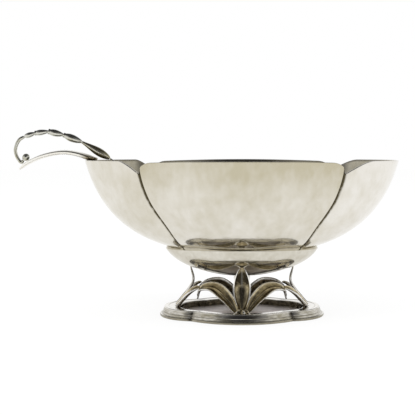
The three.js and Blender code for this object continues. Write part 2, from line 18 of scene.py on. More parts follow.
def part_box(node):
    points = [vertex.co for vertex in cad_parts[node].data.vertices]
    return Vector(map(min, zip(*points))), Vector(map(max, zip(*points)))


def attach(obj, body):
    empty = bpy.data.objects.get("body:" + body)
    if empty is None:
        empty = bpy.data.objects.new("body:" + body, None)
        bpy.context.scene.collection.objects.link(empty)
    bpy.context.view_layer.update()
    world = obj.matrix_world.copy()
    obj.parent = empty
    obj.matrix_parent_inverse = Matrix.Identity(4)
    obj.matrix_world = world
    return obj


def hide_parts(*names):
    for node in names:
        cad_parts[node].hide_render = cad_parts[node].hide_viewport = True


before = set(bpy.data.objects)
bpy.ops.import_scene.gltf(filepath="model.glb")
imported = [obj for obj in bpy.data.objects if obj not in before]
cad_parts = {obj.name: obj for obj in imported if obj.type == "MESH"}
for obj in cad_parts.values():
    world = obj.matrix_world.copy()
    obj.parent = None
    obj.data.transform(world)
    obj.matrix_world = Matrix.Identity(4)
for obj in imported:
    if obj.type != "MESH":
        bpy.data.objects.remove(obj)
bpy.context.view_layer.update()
print("pieces in the frame:", len(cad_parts))

# %% [markdown]
# Sizes are written in millimetres, as a silversmith would, and are turned into Blender's
# metres at the last moment. The middle of the foot is taken from the frame, and so
# everything stays where the construction puts it.

# %% Units and the middle of the boat
MM = 0.001


def node_box(name):
    """Lowest and highest corner of a construction piece, in millimetres."""
    low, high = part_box(name)
    return np.array(low) / MM, np.array(high) / MM


ring_low, ring_high = node_box("foot_ring")
MIDDLE_X = (ring_low[0] + ring_high[0]) / 2
bowl_low, bowl_high = node_box("bowl")
print("middle of the foot at", round(MIDDLE_X, 2), "mm")

# %% [markdown]
# Both the finishes and the growing rules are node trees. Two helpers keep them readable:
# one puts a node in with its inputs, and one does a sum.

# %% Helpers for node trees


def put(tree, kind, inputs=None, **settings):
    """Adds a node. An input is a plain value or the output of another node."""
    node = tree.nodes.new(kind)
    for key, value in settings.items():
        setattr(node, key, value)
    for key, value in (inputs or {}).items():
        if isinstance(value, bpy.types.NodeSocket):
            tree.links.new(value, node.inputs[key])
        else:
            node.inputs[key].default_value = value
    return node


def calc(tree, operation, first, second=0.0, clamp=False):
    node = put(tree, "ShaderNodeMath", {0: first, 1: second}, operation=operation, use_clamp=clamp)
    return node.outputs[0]


def mix_colours(tree, share, first, second):
    node = put(tree, "ShaderNodeMix", {0: share, 6: first, 7: second}, data_type="RGBA")
    return node.outputs[2]


def remap(tree, value, low, high, to_low=0.0, to_high=1.0):
    """Stretches a range of a value to another range and cuts it off there."""
    inputs = {"Value": value, "From Min": low, "From Max": high, "To Min": to_low, "To Max": to_high}
    return put(tree, "ShaderNodeMapRange", inputs).outputs[0]


def shader_group(name, inputs, outputs):
    """An empty shader node group with named sockets, and its two end nodes."""
    tree = bpy.data.node_groups.new(name, "ShaderNodeTree")
    kinds = {"colour": "NodeSocketColor", "vector": "NodeSocketVector", "value": "NodeSocketFloat"}
    for label, kind in inputs:
        tree.interface.new_socket(label, in_out="INPUT", socket_type=kinds[kind])
    for label, kind in outputs:
        tree.interface.new_socket(label, in_out="OUTPUT", socket_type=kinds[kind])
    return tree, tree.nodes.new("NodeGroupInput").outputs, tree.nodes.new("NodeGroupOutput").inputs


print("node helpers ready")

# %% [markdown]
# Silver sulphide grows on silver as a film. It starts as a straw tint, turns brown, and
# ends nearly black where no cloth reaches. The film isn't even: it gathers in soft
# patches the size of a fingertip. Two noises, one broad and one fine, give those patches.
# A mask of the piece can gather the film where the real piece has more of it.

# %% Tarnish film
FINE_TO_BROAD = 5.0
FINE_SHARE = 0.4
GATHERING_SHARE = 0.2
HALF_COVERED = 0.52

film_tree, given, result = shader_group(
    "Tarnish film",
    [
        ("Vector", "vector"),
        ("Patch Size", "value"),
        ("Clean", "colour"),
        ("Film", "colour"),
        ("Amount", "value"),
        ("Softness", "value"),
        ("Gathering", "value"),
    ],
    [("Color", "colour"), ("Film Mask", "value")],
)
broad_scale = calc(film_tree, "DIVIDE", 1.0, given["Patch Size"])
broad = put(film_tree, "ShaderNodeTexNoise", {"Vector": given["Vector"], "Scale": broad_scale, "Detail": 3.0})
fine_scale = calc(film_tree, "MULTIPLY", broad_scale, FINE_TO_BROAD)
fine = put(film_tree, "ShaderNodeTexNoise", {"Vector": given["Vector"], "Scale": fine_scale, "Detail": 5.0})
patches = calc(film_tree, "MULTIPLY", broad.outputs[0], 1 - FINE_SHARE)
for layer, share in ((fine.outputs[0], FINE_SHARE), (given["Gathering"], GATHERING_SHARE)):
    patches = calc(film_tree, "ADD", patches, calc(film_tree, "MULTIPLY", layer, share))
starts = calc(film_tree, "SUBTRACT", HALF_COVERED, given["Softness"])
ends = calc(film_tree, "ADD", HALF_COVERED, given["Softness"])
covered = remap(film_tree, patches, starts, ends)
film_mask = calc(film_tree, "MULTIPLY", covered, given["Amount"], clamp=True)
film_tree.links.new(mix_colours(film_tree, film_mask, given["Clean"], given["Film"]), result["Color"])
film_tree.links.new(film_mask, result["Film Mask"])
print(film_tree.name, "has", len(film_tree.nodes), "nodes")

# %% [markdown]
# Years of wiping leave hairline scratches, most of them along the direction that the
# cloth takes, and a few across. A noise that is squeezed hard along one direction gives
# streaks, and only the middle of each streak is kept, as a thin line.

# %% Fine scratches
LINE_BREADTH = 0.012
SLANTING_STRENGTH = 0.6

scratch_tree, given, result = shader_group(
    "Fine scratches",
    [("Vector", "vector"), ("Spacing", "value"), ("Strength", "value")],
    [("Height", "value"), ("Scratch Mask", "value")],
)


def hairlines(turn, length):
    """Thin lines that run along one turned direction."""
    squeezed = put(
        scratch_tree,
        "ShaderNodeMapping",
        {"Vector": given["Vector"], "Rotation": turn, "Scale": (1 / length, 1, 1)},
    )
    scale = calc(scratch_tree, "DIVIDE", 1.0, given["Spacing"])
    streaks = put(
        scratch_tree,
        "ShaderNodeTexNoise",
        {"Vector": squeezed.outputs[0], "Scale": scale, "Detail": 2.0, "Distortion": 0.4},
    )
    away = calc(scratch_tree, "ABSOLUTE", calc(scratch_tree, "SUBTRACT", streaks.outputs[0], 0.5))
    return remap(scratch_tree, away, 0.0, LINE_BREADTH, 1.0, 0.0)


along = hairlines(turn=(0.2, 0.5, 0.1), length=22.0)
slanting = hairlines(turn=(0.7, 0.1, 0.9), length=14.0)
lines = calc(scratch_tree, "MAXIMUM", along, calc(scratch_tree, "MULTIPLY", slanting, SLANTING_STRENGTH))
lines = calc(scratch_tree, "MULTIPLY", lines, given["Strength"])
scratch_tree.links.new(calc(scratch_tree, "MULTIPLY", lines, -1.0), result["Height"])
scratch_tree.links.new(lines, result["Scratch Mask"])
print(scratch_tree.name, "has", len(scratch_tree.nodes), "nodes")

# %% [markdown]
# The polishing cloth rides over hollows and creases, so they keep their dark deposit. It
# wears through on edges and ribs, which stay bright. The dark mask also carries painted
# shade, and the bright mask painted highlights. Both depend on the form, so each piece
# carries masks from its own making, and a noise breaks the masks up.

# %% Dark hollows and bright edges, with painted shade and painted highlights
MOTTLE_SCALE = 0.35
RAGGED_RANGE = (0.55, 1.25)

wear_tree, given, result = shader_group(
    "Hollows and edges",
    [
        ("Vector", "vector"),
        ("Color", "colour"),
        ("Hollow", "value"),
        ("Dark", "colour"),
        ("Edge", "value"),
        ("Bright", "colour"),
    ],
    [("Color", "colour"), ("Hollow Mask", "value"), ("Edge Mask", "value")],
)
mottle_inputs = {"Vector": given["Vector"], "Scale": MOTTLE_SCALE, "Detail": 3.0}
mottle = put(wear_tree, "ShaderNodeTexNoise", mottle_inputs)
ragged = remap(wear_tree, mottle.outputs[0], 0.3, 0.7, *RAGGED_RANGE)
hollow_mask = calc(wear_tree, "MULTIPLY", given["Hollow"], ragged, clamp=True)
edge_mask = calc(wear_tree, "MULTIPLY", given["Edge"], ragged, clamp=True)
darkened = mix_colours(wear_tree, hollow_mask, given["Color"], given["Dark"])
wear_tree.links.new(mix_colours(wear_tree, edge_mask, darkened, given["Bright"]), result["Color"])
wear_tree.links.new(hollow_mask, result["Hollow Mask"])
wear_tree.links.new(edge_mask, result["Edge Mask"])
print(wear_tree.name, "has", len(wear_tree.nodes), "nodes")

# %% [markdown]
# Here and there a pit has filled with black. Pits are points scattered at random: a
# Voronoi pattern gives one point to each cell, and most cells are left empty.

# %% Dark specks
EMPTY_CELLS = 0.72

speck_tree, given, result = shader_group(
    "Dark specks", [("Vector", "vector"), ("Spacing", "value"), ("Size", "value")], [("Speck Mask", "value")]
)
cell_scale = calc(speck_tree, "DIVIDE", 1.0, given["Spacing"])
cells = put(speck_tree, "ShaderNodeTexVoronoi", {"Vector": given["Vector"], "Scale": cell_scale})
cell_pick = put(speck_tree, "ShaderNodeSeparateColor", {0: cells.outputs["Color"]})
chosen = calc(speck_tree, "GREATER_THAN", cell_pick.outputs[0], EMPTY_CELLS)
distance = calc(speck_tree, "MULTIPLY", cells.outputs["Distance"], given["Spacing"])
speck_size = calc(speck_tree, "MULTIPLY", given["Size"], cell_pick.outputs[1])
inside_speck = calc(speck_tree, "LESS_THAN", distance, speck_size)
speck_tree.links.new(calc(speck_tree, "MULTIPLY", inside_speck, chosen), result["Speck Mask"])
print(speck_tree.name, "has", len(speck_tree.nodes), "nodes")

# %% [markdown]
# One builder puts the four effects on a metal. Every finish below only chooses its own
# colours, patch sizes and strengths, and says which masks of the piece it reads. Film,
# deposit, scratches and wear all take some of the polish away.

# %% A silver from the four effects
EVEN = (1.0, 1.0, 1.0)
PER_MM = (1 / MM, 1 / MM, 1 / MM)
SPECK_SPACING = 9.0
SPECK_SIZE = 0.35
SCRATCH_SPACING = 1.6
SCRATCH_STRENGTH = 0.5
SCRATCH_DEPTH = 0.04
SCRATCH_RELIEF = 0.25
SOFTNESS = 0.1
DULLING = {"film": 0.1, "hollow": 0.18, "scratch": 0.12, "edge": 0.12}


def silver(name, clean, film, dark, patch, amount, roughness, **options):
    """A worn silver. The patch size is in millimetres.

    hollow, edge and gathered name masks of the piece, and bright is the colour of its edges.
    softness and stretch shape the patches of film. speck is a size in millimetres.
    """
    material = bpy.data.materials.new(name)
    material.use_nodes = True
    tree = material.node_tree
    shader = tree.nodes["Principled BSDF"]
    coords = put(tree, "ShaderNodeTexCoord")
    place = put(tree, "ShaderNodeMapping", {"Vector": coords.outputs["Object"], "Scale": PER_MM})
    vector = place.outputs[0]

    def mask(option):
        if option not in options:
            return 0.0
        return put(tree, "ShaderNodeAttribute", attribute_name=options[option]).outputs["Fac"]

    def filled(which, inputs):
        whole = {key: (*value, 1.0) if isinstance(value, tuple) else value for key, value in inputs.items()}
        return put(tree, "ShaderNodeGroup", whole, node_tree=which).outputs

    stretched = put(tree, "ShaderNodeMapping", {"Vector": vector, "Scale": options.get("stretch", EVEN)})
    film_out = filled(
        film_tree,
        {
            "Vector": stretched.outputs[0],
            "Patch Size": patch,
            "Clean": clean,
            "Film": film,
            "Amount": amount,
            "Softness": options.get("softness", SOFTNESS),
            "Gathering": mask("gathered"),
        },
    )
    wear_out = filled(
        wear_tree,
        {
            "Vector": vector,
            "Color": film_out["Color"],
            "Hollow": mask("hollow"),
            "Dark": dark,
            "Edge": mask("edge"),
            "Bright": options.get("bright", clean),
        },
    )
    speck_size = options.get("speck", SPECK_SIZE)
    specks = filled(speck_tree, {"Vector": vector, "Spacing": SPECK_SPACING, "Size": speck_size})
    colour = mix_colours(tree, specks["Speck Mask"], wear_out["Color"], (*dark, 1.0))
    tree.links.new(colour, shader.inputs["Base Color"])

    scratch_inputs = {"Vector": vector, "Spacing": SCRATCH_SPACING, "Strength": SCRATCH_STRENGTH}
    lines = filled(scratch_tree, scratch_inputs)
    dulling = calc(tree, "MULTIPLY", film_out["Film Mask"], DULLING["film"])
    for worn, cause in (
        (wear_out["Hollow Mask"], "hollow"),
        (lines["Scratch Mask"], "scratch"),
        (wear_out["Edge Mask"], "edge"),
    ):
        dulling = calc(tree, "ADD", dulling, calc(tree, "MULTIPLY", worn, DULLING[cause]))
    tree.links.new(calc(tree, "ADD", dulling, roughness, clamp=True), shader.inputs["Roughness"])
    bump_inputs = {"Strength": SCRATCH_RELIEF, "Distance": SCRATCH_DEPTH * MM, "Height": lines["Height"]}
    bump = put(tree, "ShaderNodeBump", bump_inputs)
    tree.links.new(bump.outputs[0], shader.inputs["Normal"])
    shader.inputs["Metallic"].default_value = 1.0
    return material


def finish_with(piece, material):
    piece.data.materials.clear()
    piece.data.materials.append(material)
    print(piece.name, "is finished in", material.name)


print("silver builder ready")

# %% [markdown]
# Nearly every piece here is a skin over a row of rings, as a boat's planks run over its
# ribs. One helper takes the rings and closes the skin at both ends. A ring is an array of
# points. Masks, one number for each point, go on the mesh with the same call. Most masks
# are strong on some line and fade away from it, and the first helper gives that fading.

# %% A skin over rings


def near(distance, width, power=2):
    """1 on the line itself, fading to nothing within about twice the width."""
    return np.exp(-((distance / width) ** power))


def skin(name, rings, attributes=None):
    """A closed smooth mesh through rings of equal count, given in millimetres."""
    rings = np.asarray(rings, dtype=float)
    rows, count, _ = rings.shape
    faces = []
    for i in range(rows - 1):
        for j in range(count):
            k = (j + 1) % count
            faces.append((i * count + j, i * count + k, (i + 1) * count + k, (i + 1) * count + j))
    first_hub = rows * count
    last_hub = first_hub + 1
    for j in range(count):
        k = (j + 1) % count
        faces.append((first_hub, k, j))
        faces.append((last_hub, first_hub - count + j, first_hub - count + k))
    hubs = [rings[0].mean(axis=0), rings[-1].mean(axis=0)]
    placed = (np.vstack([rings.reshape(-1, 3), hubs]) + [MIDDLE_X, 0, 0]) * MM
    mesh = bpy.data.meshes.new(name)
    mesh.from_pydata(placed.tolist(), [], faces)
    for key, values in (attributes or {}).items():
        flat = list(np.asarray(values, dtype=float).reshape(-1))
        flat += [flat[0], flat[-1]]
        mesh.attributes.new(key, "FLOAT", "POINT").data.foreach_set("value", flat)
    return shown(name, mesh)


def shown(name, mesh):
    """Puts a mesh in the scene, smooth and with its faces outwards."""
    points = np.empty(len(mesh.vertices) * 3)
    mesh.vertices.foreach_get("co", points)
    points = points.reshape(-1, 3)
    volume = 0.0
    for polygon in mesh.polygons:
        corners = points[list(polygon.vertices)]
        volume += np.cross(corners[1:-1], corners[2:]).sum(axis=0).dot(corners[0])
    if volume < 0:
        mesh.flip_normals()
    mesh.shade_smooth()
    mesh.update()
    piece = bpy.data.objects.new(name, mesh)
    bpy.context.scene.collection.objects.link(piece)
    return piece


def stand_in_for(piece, body, slot, *nodes):
    """The piece rides on its body and hides the plain construction pieces."""
    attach(piece, body)
    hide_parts(*nodes)
    print(piece.name, "has", len(piece.data.polygons), "faces")


print("skin helpers ready")

# %% [markdown]
# Some pieces follow a path or an outline: the moulding of the foot, the leaves and the
# husks of the ladle. These grow from rules, which are Geometry Nodes trees. A rule takes
# thin guide lines that carry numbers, such as a width at each point. The grown piece is
# kept as a plain mesh, and its guides are taken away again.

# %% Guides and growing


def guide(name, lines, closed=False, **values):
    """A mesh of guide lines in millimetres. Each value has one entry for every point."""
    points = np.vstack(lines)
    edges = []
    start = 0
    for line in lines:
        count = len(line)
        edges += [(start + i, start + i + 1) for i in range(count - 1)]
        if closed:
            edges.append((start + count - 1, start))
        start += count
    mesh = bpy.data.meshes.new(name)
    mesh.from_pydata((points * MM).tolist(), edges, [])
    for key, numbers in values.items():
        numbers = np.asarray(numbers, dtype=float)
        if numbers.ndim == 2:
            mesh.attributes.new(key, "FLOAT_VECTOR", "POINT").data.foreach_set("vector", numbers.reshape(-1))
        else:
            mesh.attributes.new(key, "FLOAT", "POINT").data.foreach_set("value", numbers)
    piece = bpy.data.objects.new(name, mesh)
    bpy.context.scene.collection.objects.link(piece)
    return piece


def new_rule(name, inputs):
    """An empty Geometry Nodes tree that takes a guide and named inputs."""
    tree = bpy.data.node_groups.new(name, "GeometryNodeTree")
    tree.interface.new_socket("Geometry", in_out="INPUT", socket_type="NodeSocketGeometry")
    for label, kind in inputs:
        tree.interface.new_socket(label, in_out="INPUT", socket_type="NodeSocket" + kind)
    tree.interface.new_socket("Geometry", in_out="OUTPUT", socket_type="NodeSocketGeometry")
    return tree, tree.nodes.new("NodeGroupInput").outputs, tree.nodes.new("NodeGroupOutput").inputs


def carried(tree, name, kind="FLOAT"):
    """A number or a vector that the guide carries."""
    return put(tree, "GeometryNodeInputNamedAttribute", {"Name": name}, data_type=kind).outputs[0]


def as_curves(tree, mesh):
    return put(tree, "GeometryNodeMeshToCurve", {"Mesh": mesh}).outputs[0]


def curves_of(tree, other_guide):
    """The lines of a second guide, which comes in by one of the rule's inputs."""
    return as_curves(tree, put(tree, "GeometryNodeObjectInfo", {"Object": other_guide}).outputs["Geometry"])


def sweep(tree, paths, section, extras=None):
    inputs = {"Curve": paths, "Profile Curve": section, **(extras or {})}
    return put(tree, "GeometryNodeCurveToMesh", inputs).outputs[0]


def step_from(tree, place, direction, amount):
    """The place that a step of some length in a direction leads to."""
    step = put(tree, "ShaderNodeVectorMath", {0: direction, "Scale": amount}, operation="SCALE")
    return put(tree, "ShaderNodeVectorMath", {0: place, 1: step.outputs[0]}, operation="ADD").outputs[0]


def place_at(tree, mesh, place):
    return put(tree, "GeometryNodeSetPosition", {"Geometry": mesh, "Position": place}).outputs[0]


def mark(tree, mesh, name, value):
    """Writes a mask on the mesh, for its finish to read."""
    inputs = {"Geometry": mesh, "Name": name, "Value": value}
    return put(tree, "GeometryNodeStoreNamedAttribute", inputs).outputs[0]


def close_rule(tree, result, mesh, material):
    smooth = put(tree, "GeometryNodeSetShadeSmooth", {"Geometry": mesh})
    whole = put(tree, "GeometryNodeRealizeInstances", {"Geometry": smooth.outputs[0]})
    clad = put(tree, "GeometryNodeSetMaterial", {"Geometry": whole.outputs[0], "Material": material})
    tree.links.new(clad.outputs[0], result["Geometry"])


def grow(name, path, rule, settings):
    """Runs a rule on its guide and keeps what grows as one plain mesh."""
    growth = path.modifiers.new("growth", "NODES")
    growth.node_group = rule
    for socket in rule.interface.items_tree:
        if socket.in_out == "INPUT" and socket.name in settings:
            growth[socket.identifier] = settings[socket.name]
    graph = bpy.context.evaluated_depsgraph_get()
    mesh = bpy.data.meshes.new_from_object(path.evaluated_get(graph), depsgraph=graph)
    mesh.name = name
    guides = [path] + [value for value in settings.values() if isinstance(value, bpy.types.Object)]
    path.modifiers.remove(growth)
    for used in guides:
        bpy.data.objects.remove(used)
    mesh.transform(Matrix.Translation((MIDDLE_X * MM, 0, 0)))
    return shown(name, mesh)


print("growing helpers ready")

# %% [markdown]
# The lobed outline comes first, because both the bowl and the foot use it. A chaser draws
# it with a compass: two long arcs for the sides and two round arcs for the ends, which
# meet in four creases. Points crowd towards the creases, where the eye looks.

# %% The lobed outline
POINT_CROWDING = 0.8


def lobe(crown_angle, half_chord, rise, crown, steps, is_side):
    """Points of one lobe: x, y, outward x and y, distance to its crease, kind."""
    radius = (half_chord**2 + rise**2) / (2 * rise)
    half_angle = 2 * math.atan2(rise, half_chord)
    even = np.arange(steps) / steps * 2 - 1
    spread = even + POINT_CROWDING * np.sin(np.pi * even) / np.pi
    angle = crown_angle + spread * half_angle
    middle = crown - radius
    x = middle * math.cos(crown_angle) + radius * np.cos(angle)
    y = middle * math.sin(crown_angle) + radius * np.sin(angle)
    from_crease = (1 - abs(spread)) * half_angle * radius
    kind = np.full(steps, float(is_side))
    return np.stack([x, y, np.cos(angle), np.sin(angle), from_crease, kind], axis=1)


def lobed_outline(half_length, half_width, crease_x, crease_y, side_steps, end_steps):
    quarter = math.pi / 2
    end_rise = half_length - crease_x
    side_rise = half_width - crease_y
    lobes = [
        lobe(0, crease_y, end_rise, half_length, end_steps, False),
        lobe(quarter, crease_x, side_rise, half_width, side_steps, True),
        lobe(2 * quarter, crease_y, end_rise, half_length, end_steps, False),
        lobe(3 * quarter, crease_x, side_rise, half_width, side_steps, True),
    ]
    outline = np.vstack(lobes)
    start = 0
    for points in lobes:
        facing = outline[start - 1, 2:4] + outline[start + 1, 2:4]
        outline[start, 2:4] = facing / np.linalg.norm(facing)
        start += len(points)
    return outline


def oval_outline(half_length, half_width, steps):
    angle = np.arange(steps) / steps * 2 * np.pi
    facing = np.stack([np.cos(angle) / half_length, np.sin(angle) / half_width], axis=1)
    facing /= np.linalg.norm(facing, axis=1)[:, None]
    place = np.stack([half_length * np.cos(angle), half_width * np.sin(angle)], axis=1)
    return np.hstack([place, facing, np.zeros((steps, 1)), np.sin(angle)[:, None] ** 2])


print("outline helpers ready")

# %% [markdown]
# A raised bowl keeps one wall thickness all over. So the outside is drawn from a half
# profile, one Bezier curve, and the inside is the same surface moved in along its own
# normal. The rim is filed flat and its two edges are broken with a stone, which is what
# catches the light. A groove can be chased into the outside, and then shows inside as a
# ridge. It fades out towards the bottom. A drift can push places sideways by their height.

# %% Thin bowls from a profile and an outline
GROOVE_ENDS_AT = 0.15
GROOVE_FULL_AT = 0.55
ROW_CROWDING = 0.9
# Points that round a broken edge, by shares of it into the wall and below the rim
EDGE_ROUNDING = ((0.3, 0.3), (1.0, 0.0))


def bezier(controls, place):
    """Point and direction of a cubic curve at many places."""
    p0, p1, p2, p3 = (np.asarray(p, dtype=float) for p in controls)
    t = np.asarray(place)[..., None]
    point = (1 - t) ** 3 * p0 + 3 * (1 - t) ** 2 * t * p1 + 3 * (1 - t) * t**2 * p2 + t**3 * p3
    slope = 3 * (1 - t) ** 2 * (p1 - p0) + 6 * (1 - t) * t * (p2 - p1) + 3 * t**2 * (p3 - p2)
    return point, slope / np.linalg.norm(slope, axis=-1)[..., None]


def half_profile(length, bottom, rim, flatness, shoulder):
    """Controls of the curve, level at the bottom. The shoulder is in from the end and under the rim."""
    return (0, bottom), (flatness, bottom), (length - shoulder[0], rim - shoulder[1]), (length, rim)


class ThinBowl:
    """The wall of a bowl as a function of place along the profile and depth into it."""

    def __init__(self, outline, controls, rim, lift=0.0, groove=0.0, drift=None):
        self.outline = outline
        self.controls = controls
        self.rim = rim
        self.lift = lift
        self.groove = groove
        self.drift = drift

    def surface(self, place, depth):
        point, slope = bezier(self.controls, place)
        full = self.controls[3][0]
        bottom = self.controls[0][1]
        scale = point[:, 0] / full
        stretch = 1 + self.lift
        x, y, nx, ny = self.outline[:, :4].T
        rise = slope[:, 1] * stretch
        run = slope[:, 0] / full * (x * nx + y * ny)
        normal = np.stack([rise * nx, rise * ny, -run], axis=1)
        normal /= np.linalg.norm(normal, axis=1)[:, None]
        height = bottom + (point[:, 1] - bottom) * stretch
        grooved = np.clip((scale - GROOVE_ENDS_AT) / (GROOVE_FULL_AT - GROOVE_ENDS_AT), 0, 1)
        inwards = depth + self.groove * grooved
        moved = self.drift(height) if self.drift else np.zeros((2, len(x)))
        place = np.stack([x * scale + moved[0], y * scale + moved[1], height], axis=1)
        return place - normal * np.reshape(inwards, (-1, 1))

    def top(self, depth, below=0.0):
        """Where the surface reaches the rim, or a little below it."""
        low = np.zeros(len(self.outline))
        high = np.ones(len(self.outline))
        for _ in range(30):
            middle = (low + high) / 2
            under = self.surface(middle, depth)[:, 2] < self.rim - below
            low = np.where(under, middle, low)
            high = np.where(under, high, middle)
        return high

    def rings(self, wall, rows, edge):
        """Outside up to the rim, over its broken edges, and down the inside."""
        outside = self.top(0.0, edge)
        inside = self.top(wall, edge)
        shares = np.linspace(0, 1, rows + 1)[1:] ** ROW_CROWDING
        broken = [(edge * into, edge * below) for into, below in EDGE_ROUNDING]
        broken += [(wall - edge * into, edge * below) for into, below in reversed(EDGE_ROUNDING)]
        rings = [self.surface(outside * s, 0.0) for s in shares]
        rings += [self.surface(self.top(depth, below), depth) for depth, below in broken]
        rings += [self.surface(inside * s, wall) for s in shares[::-1]]
        return rings


def inner_half(rings):
    """A mask that is 1 inside a bowl and 0 outside."""
    mask = np.zeros((len(rings), len(rings[0])))
    mask[len(rings) // 2 :] = 1
    return mask


print("bowl helper ready")

# %% [markdown]
# The bowl is raised from one sheet. Its rim is level over the ends, arches a little over
# the sides, and dips into a notch at each crease, the way two petals part. Each lobe is
# one clean sweep. The crease under the notch is chased sharp, so the outline's direction
# jumps there and a fine groove follows it down. Low down the lobes melt into a plain
# oval, and the creases keep away from the middle.

# %% The form of the bowl
BOWL_LENGTH = (bowl_high[0] - bowl_low[0]) / 2
BOWL_WIDTH = (bowl_high[1] - bowl_low[1]) / 2
RIM = bowl_high[2]
BOWL_BOTTOM = bowl_low[2]
BOWL_WALL = 1.5
BOWL_EDGE = 0.25
BOWL_ROWS = 90
BOWL_STEPS = (120, 90)
BOWL_CURVE = half_profile(BOWL_LENGTH, BOWL_BOTTOM, RIM, flatness=52, shoulder=(12.2, 45))
CREASE = (59.5, 42.5)
GROOVE_DEPTH = 0.8
GROOVE_WIDTH = 1.1
# How far the creases stand outwards and towards the long axis, by distance under the rim
DRIFT_UNDER = (0, 12, 24, 33, 40, 46, 51, 55)
DRIFT_OUT = (1.8, 2.1, 1.5, 0.1, -0.3, 1.6, 4.6, 8.5)
DRIFT_IN = (0, 0, 0, 0, 0, 0.1, 0.9, 3.6)
DRIFT_EASE = 4.0
DRIFT_SPREAD = 16.0
SIDE_ARCH = 1.3
NOTCH_DEPTH = 6.3
NOTCH_RUN_SIDE = 10.0
NOTCH_RUN_LEFT = 12.0
NOTCH_RUN_RIGHT = 19.0


def notched_rim(outline):
    """Rounds over into the notches on the side lobes and slopes into them on the end lobes."""
    on_side = outline[:, 5] > 0
    run_at_end = np.where(outline[:, 0] < 0, NOTCH_RUN_LEFT, NOTCH_RUN_RIGHT)
    run = np.where(on_side, NOTCH_RUN_SIDE, run_at_end)
    into = np.clip(1 - outline[:, 4] / run, 0, 1)
    share = np.where(on_side, 1 - np.sqrt(1 - into**2), into**1.5)
    arch = np.where(on_side, (outline[:, 0] / CREASE[0]) ** 2, into**2)
    return RIM - NOTCH_DEPTH * share - SIDE_ARCH * arch


def crease_drift(height):
    """Shift of the places round the creases, lengthwise and crosswise."""
    by_crease = near(bowl_outline[:, 4], DRIFT_SPREAD)
    around = RIM - height + np.linspace(-DRIFT_EASE, DRIFT_EASE, 9)[:, None]
    out = np.interp(around, DRIFT_UNDER, DRIFT_OUT).mean(axis=0) * np.sign(bowl_outline[:, 0])
    back = np.interp(around, DRIFT_UNDER, DRIFT_IN).mean(axis=0) * np.sign(bowl_outline[:, 1])
    return by_crease * out, -by_crease * back


bowl_outline = lobed_outline(BOWL_LENGTH, BOWL_WIDTH, *CREASE, *BOWL_STEPS)
bowl_groove = GROOVE_DEPTH * near(bowl_outline[:, 4], GROOVE_WIDTH)
bowl_rim = notched_rim(bowl_outline)
bowl_form = ThinBowl(bowl_outline, BOWL_CURVE, bowl_rim, groove=bowl_groove, drift=crease_drift)
bowl_rings = bowl_form.rings(BOWL_WALL, BOWL_ROWS, BOWL_EDGE)
print("the bowl has", len(bowl_rings), "rings of", len(bowl_outline), "points")

# %% [markdown]
# The finish is bright and pale, palest on the end lobes. A warm breath of tarnish hangs
# in tall soft patches, and the side lobes are darker and warmer under the rim. The creases
# read as dark lines: polish and grime have stayed in them, and painted shade deepens
# them. The inside is painted darker and duller than the outside, as painted shade.

# %% The finish of the bowl
CREASE_DEPOSIT_AND_SHADE = 1.4
CREASE_LINE_LEFT = 0.6
CREASE_LINE_RIGHT = 0.8
INSIDE_PAINTED_SHADE = 0.22
INSIDE_SHADE_FILM = 1.2
RIM_FILM_SPREAD = 0.3
CREASE_FILM_SPREAD = 14.0
# What makes more film gather on the side lobes; "right" grows towards the right end
SIDE_FILM = {"under the rim": 1.7, "right": 0.4, "everywhere": -0.35}
# The same for the end lobes, with film low down that also grows towards the right end
END_FILM = {"by the crease": 0.1, "right": -0.7, "everywhere": -0.7, "low": 1.8, "low right": 2.0}

from_crease = bowl_outline[:, 4]
side_lobe = bowl_outline[:, 5]
to_right = bowl_outline[:, 0] / BOWL_LENGTH
line_width = np.where(to_right < 0, CREASE_LINE_LEFT, CREASE_LINE_RIGHT)
bowl_inside = inner_half(bowl_rings)
# Crease lines are deposit deepened by painted shade; the inside is darkened as painted shade
bowl_dark = np.maximum(CREASE_DEPOSIT_AND_SHADE * near(from_crease, line_width), INSIDE_PAINTED_SHADE * bowl_inside)
up_the_side = (np.array(bowl_rings)[:, :, 2] - BOWL_BOTTOM) / (RIM - BOWL_BOTTOM)
on_sides = SIDE_FILM["under the rim"] * near(1 - up_the_side, RIM_FILM_SPREAD)
on_sides += SIDE_FILM["right"] * to_right + SIDE_FILM["everywhere"]
low_down = np.clip(0.5 - up_the_side, 0, 1)
on_ends = (END_FILM["low"] + END_FILM["low right"] * to_right) * low_down
on_ends += END_FILM["right"] * to_right + END_FILM["everywhere"]
on_ends += END_FILM["by the crease"] * near(from_crease, CREASE_FILM_SPREAD)
bowl_gathered = side_lobe * on_sides + (1 - side_lobe) * on_ends
# The inside takes more film, as painted shade
bowl_gathered = np.where(bowl_inside > 0, INSIDE_SHADE_FILM, bowl_gathered)
bowl = skin("bowl_shell", bowl_rings, {"dark": bowl_dark, "gathered": bowl_gathered})
bowl_silver = silver(
    "bowl_silver",
    clean=(0.80, 0.775, 0.72),
    film=(0.52, 0.475, 0.345),
    dark=(0.09, 0.075, 0.04),
    patch=24.0,
    amount=0.95,
    roughness=0.06,
    hollow="dark",
    gathered="gathered",
    softness=0.3,
    stretch=(1.0, 1.0, 0.6),
)
finish_with(bowl, bowl_silver)
stand_in_for(bowl, "boat", "bowl_silver", "bowl")

# %% [markdown]
# The dish under the bowl is a plain oval saucer, spun and then pinched a little. It
# touches the bowl at the front and back, where its rim is lifted to meet it, and its tips
# stand free at the two ends. Inside its rim a seat of solder reaches up to the bowl and
# follows its underside, which is felt from below with rays.
#
# The dish is polished to a mirror and shows the leaves. Lower down it is painted a
# darker brown, a painted reflection of the dark leaves below it.

# %% The dish
dish_low, dish_high = node_box("under_dish")
DISH_LENGTH = (dish_high[0] - dish_low[0]) / 2
DISH_WIDTH = (dish_high[1] - dish_low[1]) / 2
